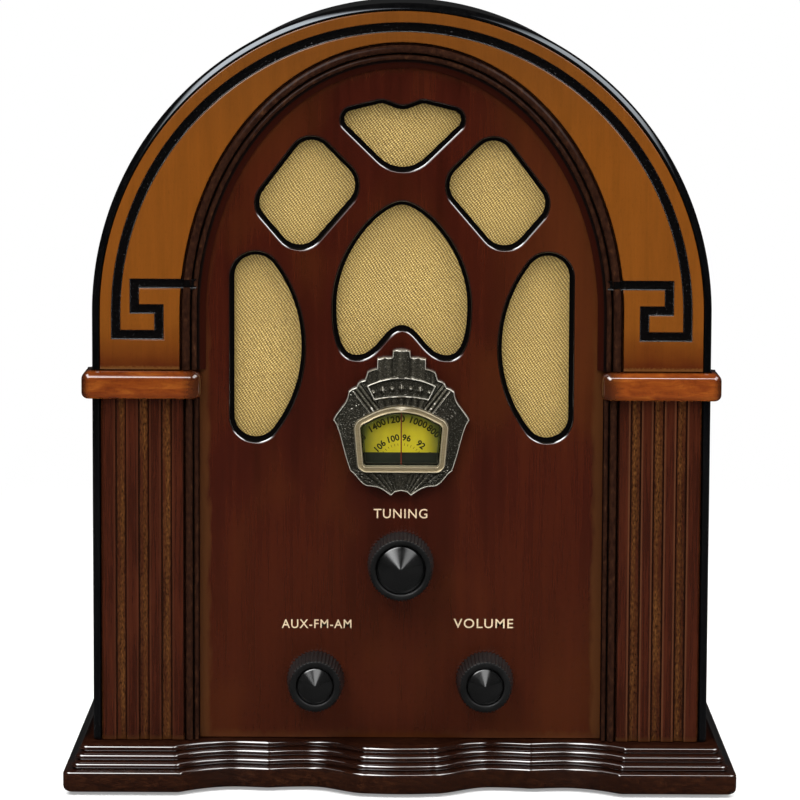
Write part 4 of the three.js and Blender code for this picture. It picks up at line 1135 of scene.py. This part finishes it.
def centre_opening():
    top, waist, foot, notch = (0, 223), (-26.6, 183), (-17, 162.2), (0, 173.6)
    left = [top, *bezier(top, (-9, 223), (-26.6, 204.5), waist, 28)]
    left += bezier(waist, (-26.6, 170), (-24, 162.2), foot, 20)
    left += bezier(foot, (-8, 162.2), (-5.5, 173.6), notch, 20)
    return left + mirrored(left)[1:-1]


def window_outline(inset=0.0):
    """The bezel's outer outline, drawn in by an inset: upright sides under an arched top."""
    crown = [(x, z, 0) for x, z in arc(0, 120.6, 25.1, 25.1, 58.5, 121.5, 14)]
    outer = rounded([(-16.3, 120.5, 3.6), (16.3, 120.5, 3.6), (18, 139.6, 4.6), *crown, (-18, 139.6, 4.6)], 8)
    return offset(turning(outer), inset)


def make_panel():
    """Each opening's rounded lip starts outside its drawn outline and ends a little inside it."""
    lip = 2.5
    narrow, wide = 1.3, 1.9
    holes = [offset(turning(hole), narrow) for hole in (diamond_opening(), bulge_opening())]
    holes += [mirrored(hole) for hole in holes]
    holes += [offset(turning(hole), wide) for hole in (top_opening(), centre_opening())]
    holes += [window_outline(2.6), circle(0, TUNING_Z, 4.9)]
    holes += [circle(side * VOLUME_X, VOLUME_Z, 3.9) for side in (1, -1)]
    front, back = panel_low.y, panel_high.y
    section = [(lip, front), (lip - 0.32, front + 0.04), (lip - 0.64, front + 0.16),
               (lip - 0.94, front + 0.38), (lip - 1.18, front + 0.7), (lip - 1.36, front + 1.15),
               (0.6, front + 2.4), (0, front + 4), (0, back)]
    outline = arch_line(panel_high.x, panel_high.x, BASE_HEIGHT + GAP)
    panel = plate("baffle_panel_wood", outline, holes, section, rim=0)
    finished(panel, "panel_stain", "panel_stain", "baffle_panel")


def make_cloth():
    """A stretched sheet with a shallow sag between its glued edges and a notch for the dial."""
    thickness, clearance, depth = 0.45, 0.3, 0.22
    notch_x, notch_top = 28.5, DIAL_Z + 28.5
    half = cloth_high.x
    arch_z = cloth_high.z - half
    columns = sorted({*np.linspace(-1, 1, 151).tolist(), -notch_x / half, notch_x / half})
    rows = sorted({*np.linspace(cloth_low.z, cloth_high.z - 1, 141).tolist(), notch_top})
    rng = np.random.default_rng(7)
    waves = [(rng.uniform(-0.16, 0.16), rng.uniform(-0.16, 0.16), rng.uniform(0, 6.28)) for _ in range(9)]
    points = []
    for z in rows:
        width = half if z < arch_z else math.sqrt(max(0.0, half ** 2 - (z - arch_z) ** 2))
        for x in [column * width for column in columns]:
            sag = sum(math.sin(a * x + b * z + c) for a, b, c in waves) / len(waves)
            points.append((x, cloth_low.y + clearance + depth * sag, z))
    count = len(columns)
    faces = []
    for i in range(len(rows) - 1):
        for j in range(count - 1):
            middle = (columns[j] + columns[j + 1]) / 2 * half
            if (rows[i] + rows[i + 1]) / 2 < notch_top and abs(middle) < notch_x:
                continue
            corner = i * count + j
            faces.append((corner, corner + 1, corner + 1 + count, corner + count))
    used = sorted({corner for face in faces for corner in face})
    order = {old: new for new, old in enumerate(used)}
    front = [points[i] for i in used]
    back = [(x, y + thickness, z) for x, y, z in front]
    sheet = thickened(front, back, [tuple(order[i] for i in face) for face in faces])
    finished(mesh_piece("grille_cloth_weave", *sheet), "grille_cloth", "grille_cloth", "grille_cloth")


# ---------------------------------------------------------------- escutcheon


def escutcheon_outline():
    shoulder, tip, lower_tip, foot = (20.2, 149.6), (25.7, 140.4), (19.2, 121), (12.3, 115.2)
    right = [(0, 167.3), (1.8, 167.1), (3.3, 166.5), (3.5, 164.2), (6.4, 164.2), (9.2, 163.6), (9.2, 159.9),
             (11, 159.4), (12.8, 158.6), (13.8, 155.5), (15.2, 155.1), (16.4, 154.2), (17, 152.8),
             (18.4, 152.3), (19.9, 151.2), shoulder]
    right += bezier(shoulder, (20.6, 146.5), (24, 144), tip, 12)
    right += bezier(tip, (23, 137), (22.5, 130), lower_tip, 12)
    right += bezier(lower_tip, (17, 120), (15.5, 115.5), foot, 10)
    right += bezier(foot, (8.5, 115.2), (7, 114), (3.8, 111.6), 10)
    right += [(2.2, 113), (0, 113.5)]
    return turning(right + mirrored(right)[1:-1])


def distance_to(x, z, line):
    """Distance from each point to the nearest place on a closed line."""
    best = np.full(x.shape, np.inf)
    for (ax, az), (bx, bz) in zip(line, line[1:] + line[:1]):
        dx, dz = bx - ax, bz - az
        length = dx * dx + dz * dz
        if length < 1e-12:
            continue
        t = np.clip(((x - ax) * dx + (z - az) * dz) / length, 0, 1)
        best = np.minimum(best, np.hypot(x - ax - t * dx, z - az - t * dz))
    return best


def ridge(distance, width, height):
    """A rounded ridge of a height, seen from its middle line."""
    return height * np.sqrt(np.clip(1 - (distance / width) ** 2, 0, 1))


def smooth(value, start, end):
    t = np.clip((value - start) / (end - start), 0, 1)
    return t * t * (3 - 2 * t)


def wave(value, pitch):
    """Rounded ribs at a pitch, from 0 to 1."""
    return np.abs(np.cos(value / pitch * np.pi))


def pebbles(x, z, pitch, seed):
    """Low round bumps scattered at about a pitch, from 0 to 1."""
    rng = np.random.default_rng(seed)
    columns, rows = 60, 66
    left, bottom = -27, 108
    jitter_x = rng.uniform(-0.35, 0.35, (columns, rows))
    jitter_z = rng.uniform(-0.35, 0.35, (columns, rows))
    size = rng.uniform(0.55, 1.0, (columns, rows))
    column = np.floor((x - left) / pitch).astype(int)
    row = np.floor((z - bottom) / pitch).astype(int)
    best = np.zeros(x.shape)
    for beside in (-1, 0, 1):
        for above in (-1, 0, 1):
            i = np.clip(column + beside, 0, columns - 1)
            j = np.clip(row + above, 0, rows - 1)
            centre_x = (i + 0.5 + jitter_x[i, j]) * pitch + left
            centre_z = (j + 0.5 + jitter_z[i, j]) * pitch + bottom
            reach = np.hypot(x - centre_x, z - centre_z) / (pitch * 0.55)
            best = np.maximum(best, size[i, j] * np.sqrt(np.clip(1 - reach ** 2, 0, 1)))
    return best


BANNER_TOP = (128.3, 28)
BANNER_BOTTOM = (105.1, 44.3)


def banner_outline():
    """Two arcs about points on the plate's middle line, each a (z, radius) pair."""
    (top_z, top), (bottom_z, bottom) = BANNER_TOP, BANNER_BOTTOM
    return arc(0, top_z, top, top, 63, 117, 20) + arc(0, bottom_z, bottom, bottom, 103.3, 76.7, 16)


def inside_banner(x, z):
    (top_z, top), (bottom_z, bottom) = BANNER_TOP, BANNER_BOTTOM
    half_width = 10.2 + (z - 148.2) / 2
    between_arcs = (np.hypot(x, z - top_z) < top) & (np.hypot(x, z - bottom_z) > bottom)
    return between_arcs & (np.abs(x) < half_width)


def relief(x, z, outline):
    """How far the cast face stands proud at each place, in millimetres."""
    side = np.abs(x)
    height = 0.1 + 0.32 * pebbles(x, z, 0.75, 3)

    crown = (z > 147) & (side < 13.6) & (z > 150 + 0.35 * side)
    middle = 0.75 + 0.45 * np.cos(np.clip(side, 0, 3.4) / 3.4 * np.pi)
    inner = 0.45 + 0.4 * np.abs(np.sin((side - 3.4) / 2.9 * np.pi))
    outer = 0.2 + 0.3 * np.abs(np.sin((side - 9.2) / 1.9 * np.pi))
    height = np.where(crown, np.where(side < 3.4, middle, np.where(side < 9.2, inner, outer)), height)

    bearing = np.degrees(np.arctan2(side, z - 121))
    fan = (z < 149.4) & (z > 143.5) & (bearing < 26) & (np.hypot(side, z - 121) > 24)
    height = np.where(fan, 0.05 + 0.65 * wave(bearing, 26 / 4.5) ** 0.7, height)

    lean_x, lean_z = 0.607, 0.794
    along = (side - 11) * lean_x + (z - 145) * lean_z
    across = (side - 11) * lean_z - (z - 145) * lean_x
    ribs = (across > -2.6) & (across < 2.2) & (along > -4) & (z > 140) & (side > 8.5)
    height = np.where(ribs, 0.3 + 0.34 * wave(across + 2.6, 1.6), height)

    ray = np.degrees(np.arctan2(side, z - 108.5))
    rays = (z < 121) & (ray < 62) & (z > 111)
    wedge = np.where(ray < 13, 0.62, 0.36 + 0.17 * wave(ray - 13, 8.2) ** 0.6)
    fade = smooth(ray, 62, 46)
    height = np.where(rays, wedge * fade + height * (1 - fade), height)

    height = np.where(inside_banner(x, z), 0.3 + 0.3 * pebbles(x, z, 0.62, 11), height)
    height = np.maximum(height, banner_studs(x, z))
    border = distance_to(x, z, banner_outline())
    height = np.maximum(height, 0.3 + ridge(border, 0.42, 0.75) * (border < 0.42))
    rim = distance_to(x, z, outline)
    rounded_rim = np.maximum(height * smooth(rim, 0, 0.62), ridge(rim - 0.3, 0.34, 0.7))
    return np.where(rim < 0.62, rounded_rim, height)


def polish(x, z, outline):
    """1 on the ridges round the plate and its banner: a painted highlight that colours them pale."""
    rim = 1 - smooth(np.abs(distance_to(x, z, outline) - 0.24), 0.04, 0.22)
    border = 1 - smooth(distance_to(x, z, banner_outline()), 0.08, 0.26)
    return np.maximum(0.85 * rim, 0.75 * border)


def banner_studs(x, z):
    """A row of plain lozenges and round studs, where a maker would cast a name."""
    height = np.zeros(x.shape)
    row = arc(0, 116, 36.3, 36.3, 90 + 3 * 5.6, 90 - 3 * 5.6, 6)
    for i, (centre_x, centre_z) in enumerate(row):
        away_x, away_z = np.abs(x - centre_x), np.abs(z - centre_z)
        reach = away_x / 1.15 + away_z / 1.7 if i % 2 else np.hypot(away_x, away_z) / 0.85
        height = np.maximum(height, np.where(reach < 1, 0.45 + 0.55 * (1 - reach), 0))
    return height


def make_escutcheon():
    """A cast plate whose face is a relief between its outline and the dial window."""
    ground, window_edge, cast_depth = 3.1, 2.6, 1.3
    outline = divided(escutcheon_outline(), 0.22)
    opening = divided(window_outline(-GAP * 0.5), 0.25)
    centre = np.array([0.0, WINDOW_Z])
    edge = np.array(outline)
    window = np.array(opening + opening[:1]) - centre
    bearings = np.unwrap(np.arctan2(*(edge - centre).T[::-1]))
    window_bearings = np.unwrap(np.arctan2(window[:, 1], window[:, 0]))
    start = window_bearings[0]
    reach = np.interp((bearings - start) % (2 * np.pi) + start, window_bearings, np.hypot(*window.T))
    hole = np.stack([reach * np.cos(bearings), centre[1] + reach * np.sin(bearings)], 1)
    rows = 65
    outwards = np.linspace(0, 1, rows)[:, None, None]
    grid = hole * (1 - outwards) + edge * outwards
    x, z = grid[..., 0], grid[..., 1]
    proud = relief(x, z, outline)
    doming = 0.5 * (1 - ((x / 27) ** 2 + ((z - 138) / 34) ** 2))
    y = ground - cast_depth * proud - doming
    y[0] = window_edge
    rings = np.stack([x, y, z], -1).tolist()
    rings += [[(px, FACE_BACK, pz) for px, pz in loop] for loop in (edge, hole)]
    casting = lofted("escutcheon_casting", rings, 60, looped=True)
    for name, values in (("polish", polish(x, z, outline)), ("relief", proud)):
        stored = casting.data.attributes.new(name, "FLOAT", "POINT")
        stored.data.foreach_set("value", np.append(values, np.zeros(2 * len(outline))))
    finished(casting, "pewter", "pewter", "escutcheon")


# ---------------------------------------------------------------- dial


def make_dial_window():
    """The bezel ring with its lens, the pointer and the wall behind the window."""
    front = cabinet_box("dial_bezel")[0].y
    width = 2.3
    outer_lip = [(0, FACE_BACK), (0, front + 0.7), (0.12, front + 0.25), (0.35, front + 0.02),
                 (0.6, front + 0.1), (0.8, front + 0.3)]
    inner_lip = [(width - 0.75, front + 0.3), (width - 0.55, front + 0.1), (width - 0.32, front + 0.02),
                 (width - 0.1, front + 0.2), (width, front + 0.6), (width, FACE_BACK)]
    bezel = swept("dial_bezel_ring", window_outline(), outer_lip + inner_lip, True)
    finished(bezel, "bezel_brass", "bezel_brass", "dial_bezel")
    opening = window_outline(width + GAP)
    dome = [(0.3, -0.28), (0.6, -0.24), (0.85, -0.14), (0.96, 0), (1, 0.3), (1, lens_high.y - lens_low.y)]
    rings = [[(x * share, lens_low.y + depth, WINDOW_Z + (z - WINDOW_Z) * share) for x, z in opening]
             for share, depth in dome]
    finished(lofted("dial_lens_clear", rings, 60), "clear_lens", "clear_lens", "dial_lens")
    low, high = cabinet_box("dial_pointer")
    half = (high.x - low.x) / 2
    needle = bead(0, half, (low.y + high.y) / 2, 8) + [(-half, high.y), (half, high.y)]
    pointer = swept("dial_pointer_wire", divided([(0, low.z), (0, high.z)], 2, False), needle)
    finished(pointer, "red_paint", "red_paint", "dial_pointer")
    thickness = 0.25
    start, end = 5.9, panel_high.y - 0.4
    section = [(0, start), (0, end), (thickness, end), (thickness, start)]
    wall = swept("dial_window_wall", window_outline(width + GAP + 0.4), section, True)
    finished(wall, "mask", "black_plastic")


def text_mesh(body, size, weight, spacing):
    """Vertices (x, z) and faces of a line of text, centred on (0, 0), in millimetres."""
    curve = bpy.data.curves.new("text", "FONT")
    curve.body = body
    curve.size = size
    curve.offset = weight
    curve.space_character = spacing
    curve.align_x = "CENTER"
    curve.align_y = "CENTER"
    curve.resolution_u = 4
    curve.fill_mode = "FRONT"
    holder = add_object("text", curve)
    bpy.context.view_layer.update()
    flat = bpy.data.meshes.new_from_object(holder.evaluated_get(bpy.context.evaluated_depsgraph_get()))
    vertices = [(vertex.co.x, vertex.co.y) for vertex in flat.vertices]
    faces = [tuple(polygon.vertices) for polygon in flat.polygons]
    bpy.data.objects.remove(holder)
    bpy.data.curves.remove(curve)
    bpy.data.meshes.remove(flat)
    middle = (max(z for _, z in vertices) + min(z for _, z in vertices)) / 2
    return [(x, z - middle) for x, z in vertices], faces


def printed(name, shapes, front, back):
    """A thin print from flat shapes, each a pair of (x, z) vertices and faces."""
    points = []
    faces = []
    for vertices, flat in shapes:
        sheets = [[(x, y, z) for x, z in vertices] for y in (front, back)]
        sheet_points, sheet_faces = thickened(*sheets, flat)
        faces += [tuple(corner + len(points) for corner in face) for face in sheet_faces]
        points += sheet_points
    return mesh_piece(name, points, faces, 30)


def on_disc(shape, radius, angle):
    """A flat shape moved to a radius and turned about the disc's centre; left is positive."""
    c, s = math.cos(math.radians(angle)), math.sin(math.radians(angle))
    vertices, faces = shape
    return [(x * c - (z + radius) * s, DIAL_Z + x * s + (z + radius) * c) for x, z in vertices], faces


def make_dial():
    front, back = disc_low.y, disc_high.y
    radius = disc_high.x
    profile = [(0, front), (radius - 0.3, front), (radius, front + 0.3), (radius, back - 0.2), (0, back)]
    disc = turned("dial_disc_scale", profile, (0, DIAL_Z), 128)
    finished(disc, "scale_print", "scale_print", "dial_disc", body="dial")
    # The angle of each number on the disc, in degrees to the left of its top.
    am = {530: -80, 600: -63, 800: -41, 1000: -20, 1200: 7, 1400: 30, 1600: 60}
    fm = {88: -68, 92: -40, 96: -10, 100: 16, 106: 45, 108: 78}
    tick = [(-0.09, -0.45), (0.09, -0.45), (0.09, 0.45), (-0.09, 0.45)], [(0, 1, 2, 3)]
    shapes = [on_disc(text_mesh(str(number), 3.5, 0.11, 1.05), 18.6, angle) for number, angle in am.items()]
    shapes += [on_disc(text_mesh(str(number), 3.3, 0.1, 1.03), 11.6, angle) for number, angle in fm.items()]
    shapes += [on_disc(tick, 9, angle) for angle in range(-80, 81, 8)]
    ink = printed("dial_disc_numbers", shapes, front - 0.06, front + 0.05)
    finished(ink, "ink", "scale_print", body="dial")


# ---------------------------------------------------------------- knobs and labels


def make_knob(name, x, z, radius, back_radius, recess, ribs):
    """A ribbed, slightly tapered skirt and a shallow glossy cone set into its face."""
    low, high = cabinet_box(f"{name}_knob")
    front, back = low.y, high.y
    body = f"{name}_drive"
    rib_depth = 0.55
    socket, hub, bore, bore_end = 3.4, 5.4, 3.1, -8.7
    profile = [(0, front + socket), (recess, front + socket), (recess, front + 0.5),
               (recess + 0.25, front + 0.12), (recess + 0.55, front), (radius - 0.75, front),
               (radius - 0.38, front + 0.1), (radius - 0.08, front + 0.38)]
    profile += list(zip(np.linspace(radius, back_radius, 9), np.linspace(front + 0.8, back - 0.6, 9)))
    profile += [(back_radius - 0.4, back), (radius - 2, back), (radius - 2, back - 4), (hub, back - 4),
                (hub, back - 0.8), (bore, back - 0.8), (bore, bore_end), (0, bore_end)]
    grooves = (ribs, rib_depth, radius - 0.5, front)
    skirt = turned(f"{name}_knob_skirt", profile, (x, z), ribs * 8, grooves, 30)
    finished(skirt, "black_plastic", "black_plastic", f"{name}_knob", body=body)
    cap_low, cap_high = cabinet_box(f"{name}_knob_cap")
    tip, edge = cap_low.y, cap_high.x - x
    slope = 0.315
    cone = [(0, tip), (0.25, tip + 0.02), (0.55, tip + 0.1), (0.9, tip + 0.21)]
    cone += [(reach, tip + 0.21 + (reach - 0.9) * slope) for reach in np.linspace(0.9, edge - 0.35, 13)[1:]]
    end = cone[-1][1]
    cone += [(edge - 0.1, end + 0.12), (edge, end + 0.35), (edge, cap_high.y), (0, cap_high.y)]
    cap = turned(f"{name}_knob_cone", cone, (x, z), 144)
    finished(cap, "gloss_plastic", "black_plastic", f"{name}_knob_cap", body=body)


def make_labels():
    """Each label is stretched to its place: left, right, bottom and top."""
    front = panel_low.y
    places = {"TUNING": ("tuning", -10.3, 10, 102.6, 106.2), "VOLUME": ("volume", 20.2, 42.8, 60.6, 64.2),
              "AUX-FM-AM": ("function", -45, -18.6, 60.3, 63.7)}
    for body, (name, left, right, bottom, top) in places.items():
        vertices, faces = text_mesh(body, 5, 0.02, 1.12)
        low, high = np.min(vertices, 0), np.max(vertices, 0)
        share = (np.array(vertices) - low) / (high - low)
        placed = share * (right - left, top - bottom) + (left, bottom)
        label = printed(f"label_{name}", [(placed.tolist(), faces)], front - 0.07, front + 0.05)
        finished(label, "label", "panel_stain")


# ---------------------------------------------------------------- back


def make_rear():
    outline = arch_line(cover_high.x, cover_high.x, BASE_HEIGHT + GAP, 100)
    holes = []
    for bottom, top, reach in ((232, 252, 40), (196, 216, 60), (160, 180, 60)):
        for x in range(-reach, reach + 1, 10):
            left, right = x - 1.6, x + 1.6
            corners = ((left, bottom), (right, bottom), (right, top), (left, top))
            holes.append(rounded([(*corner, 1.5) for corner in corners], 5))
    screws = [(-102, 40), (102, 40), (-102, 160), (102, 160)]
    holes += [circle(x, z, 2, 24) for x, z in screws]
    holes.append(rounded([(-27, 38, 1), (27, 38, 1), (27, 66, 1), (-27, 66, 1)], 4))
    back = cover_high.y
    cover = plate("rear_cover_board", outline, holes,
                  [(0, cover_low.y), (0, back - 0.35), (0.12, back - 0.1), (0.35, back)])
    finished(cover, "hardboard", "hardboard", "rear_cover")
    for i, (x, z) in enumerate(screws, 1):
        make_screw(f"rear_screw_{i}", x, z, back + GAP)


def make_screw(name, x, z, seat):
    """A pan-head screw with a cross recess."""
    tip = cabinet_box(name)[0].y - seat
    profile = [(1.4, tip), (1.4, 0), (3.4, 0), (3.4, 0.35), (3.15, 0.75), (2.6, 1.05), (2.0, 1.22),
               (1.5, 1.3), (1.0, 1.36), (0.55, 1.38)]
    rings = []
    for radius, rise in profile:
        ring = []
        for across, up in circle(0, 0, radius):
            in_cross = min(abs(across), abs(up)) < 0.36 and radius < 2.1 and rise > 1
            ring.append((x + across, seat + rise - 0.75 * in_cross, z + up))
        rings.append(ring)
    finished(lofted(f"{name}_head", rings, 30), "plain_steel", "plain_steel", name)


# ---------------------------------------------------------------- CAD nodes that stay


def dress_frame():
    """Gives every CAD node that stays visible its procedural material."""
    kept = {
        "raw_wood": ["cleat_left", "cleat_right"],
        "mask": ["dial_mask", "jack_plate"],
        "white_plastic": ["dial_gear", "idler_gear", "tuning_capacitor", "function_switch", "aerial_bracket"],
        "plain_steel": ["chassis", "speaker_basket", "volume_shaft", "function_shaft", "volume_control",
                        *(f"speaker_screw_{i}" for i in range(1, 5))],
        "shaft_brass": ["tuning_shaft", "tuning_bushing"],
        "speaker_paper": ["speaker_cone", "speaker_dust_cap"],
        "magnet_ferrite": ["speaker_magnet", "aerial_rod"],
        "board": ["circuit_board"],
        "copper_winding": ["mains_transformer", "aerial_coil"],
        "lamp": ["dial_lamp"],
    }
    for material, nodes in kept.items():
        for node in nodes:
            dress(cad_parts[node], material)


# ---------------------------------------------------------------- stage, light and camera


def make_floor():
    """A pale floor that fades out to the backdrop, and that reflections see dark."""
    reach = 6
    corners = [(x, y, 0) for x, y in ((-reach, -reach), (reach, -reach), (reach, reach), (-reach, reach))]
    mesh = bpy.data.meshes.new("floor")
    mesh.from_pydata(corners, [], [(0, 1, 2, 3)])
    shader = Shader("pale floor")
    distance = shader.node("VectorMath", {0: shader.place}, "Value", operation="LENGTH")
    shader.set(
        Base_Color=shader.shades(shader.noise(60), (0.8, 0.8, 0.79), (0.84, 0.84, 0.83)),
        Roughness=0.8,
        Emission_Color=(1, 1, 1),
        Emission_Strength=0.3,
        Alpha=distance.step(900, 320),
    )
    mirrored_ray = shader.node("LightPath", {}, "Is Glossy Ray")
    dark = shader.node("BsdfDiffuse", {"Color": (0.02, 0.02, 0.02)})
    pale = Value(shader, shader.surface.outputs[0])
    mesh.materials.append(shader.mix_surfaces(mirrored_ray, pale, dark))
    add_object("floor", mesh)


def make_world():
    """White behind the object, softer light from all round, and dark in reflections."""
    seen, ambient, reflected = 1.0, 0.42, 0.02
    world = bpy.data.worlds.new("studio")
    bpy.context.scene.world = world
    graph = Graph(world)
    graph.nodes.clear()
    camera_ray = graph.node("LightPath", {}, "Is Camera Ray")
    mirrored_ray = graph.node("LightPath", {}, "Is Glossy Ray")
    strength = camera_ray * (seen - ambient) + ambient + mirrored_ray * (reflected - ambient)
    background = graph.node("Background", {"Color": (1, 1, 1), "Strength": strength})
    output = graph.nodes.new("ShaderNodeOutputWorld")
    graph.put(output.inputs["Surface"], background)


def add_softbox(name, bearing, tilt, distance, size, radiance, full=(0.2, 0.38)):
    """A rectangular light aimed at the cabinet, fading out towards its edges.

    Its bearing turns about the line of view (0 is right, 90 up) and its tilt is the angle away
    from that line. Its first size is across the bearing and its second along the tilt. It is given
    a brightness per area, so that its reflection keeps its level at any size, and is at full
    brightness up to a part of each half size.
    """
    cabinet_middle = Vector((0, 0, 0.17))
    a, t = math.radians(bearing), math.radians(tilt)
    towards = Vector((math.sin(t) * math.cos(a), -math.cos(t), math.sin(t) * math.sin(a)))
    along = Vector((math.cos(t) * math.cos(a), math.sin(t), math.cos(t) * math.sin(a)))
    light = bpy.data.lights.new(name, "AREA")
    light.shape = "RECTANGLE"
    light.size, light.size_y = size
    light.energy = radiance * math.pi * size[0] * size[1]
    soften_edges(light, full)
    lamp = add_object(name, light)
    axes = Matrix((along.cross(towards), along, towards)).transposed().to_4x4()
    lamp.matrix_world = Matrix.Translation(cabinet_middle + towards * distance) @ axes
    return lamp


def soften_edges(light, full):
    """Dims a light towards its edges, as the cloth of a softbox does."""
    graph = Graph(light)
    across, along, _ = graph.split(graph.node("NewGeometry", {}, "Parametric"))
    fades = [abs(place - 0.5).step(0.5, bright) for place, bright in zip((across, along), full)]
    graph.put(graph.nodes["Emission"].inputs["Strength"], fades[0] * fades[1])


def light_only(lamp, *names):
    """Lets a lamp reach only the named pieces."""
    receivers = bpy.data.collections.new(lamp.name + "_receivers")
    for name in names:
        receivers.objects.link(bpy.data.objects[name])
    lamp.light_linking.receiver_collection = receivers


def make_lights():
    """A bright softbox on the left, a steeper one on the right, and lamps for single pieces."""
    add_softbox("softbox_left", 122, 52, 1.3, (0.85, 1.6), 8.1)
    add_softbox("softbox_right", 48, 63, 1.3, (0.95, 1.5), 5)
    add_softbox("fill_right", 20, 60, 1.3, (1.0, 1.4), 1.6).visible_glossy = False
    add_softbox("overhead", 90, 104, 1.2, (1.4, 0.8), 4).visible_glossy = False
    strip = add_softbox("base_strip", 90, 46, 1.9, (2.4, 0.36), 10, (0.45, 0.2))
    light_only(strip, "base_plinth_wood", "baffle_panel_wood", "capital_right_wood")
    glint = add_softbox("knob_glint", 90, 73, 1.15, (3.6, 0.6), 24)
    light_only(glint, "tuning_knob_skirt", "volume_knob_skirt", "function_knob_skirt")
    wide_cap = add_softbox("tuning_cap_glint", 50, 35, 1.3, (0.6, 0.7), 2.2)
    light_only(wide_cap, "tuning_knob_cone")
    small_caps = add_softbox("small_cap_glint", 84, 20, 1.3, (0.5, 0.6), 2.8)
    light_only(small_caps, "volume_knob_cone", "function_knob_cone")


def make_camera():
    """A long lens in front of the cabinet, a little above its middle and looking down on it."""
    camera = bpy.data.cameras.new("camera")
    camera.sensor_width = 36
    camera.lens = 174.3
    camera.clip_start = 0.05
    holder = add_object("camera", camera)
    place = Matrix.Translation((-0.00053, -1.52307, 0.31519))
    pitch = Matrix.Rotation(math.radians(90 - 6.54), 4, "X")
    roll = Matrix.Rotation(math.radians(0.2566), 4, "Z")
    holder.matrix_world = place @ pitch @ roll
    bpy.context.scene.camera = holder


# ---------------------------------------------------------------- assembly

make_base()
make_shell()
make_arch_face()
make_moldings()
make_pilasters()
make_capitals()
make_panel()
make_cloth()
make_escutcheon()
make_dial_window()
make_dial()
make_knob("tuning", 0, TUNING_Z, 11.9, 12.6, 9.4, 52)
make_knob("volume", VOLUME_X, VOLUME_Z, 10, 11, 7.1, 44)
make_knob("function", -VOLUME_X, VOLUME_Z, 10, 11, 7.1, 44)
make_labels()
make_rear()
dress_frame()
make_floor()
make_world()
make_lights()
make_camera()
bpy.context.scene.view_settings.view_transform = "Standard"
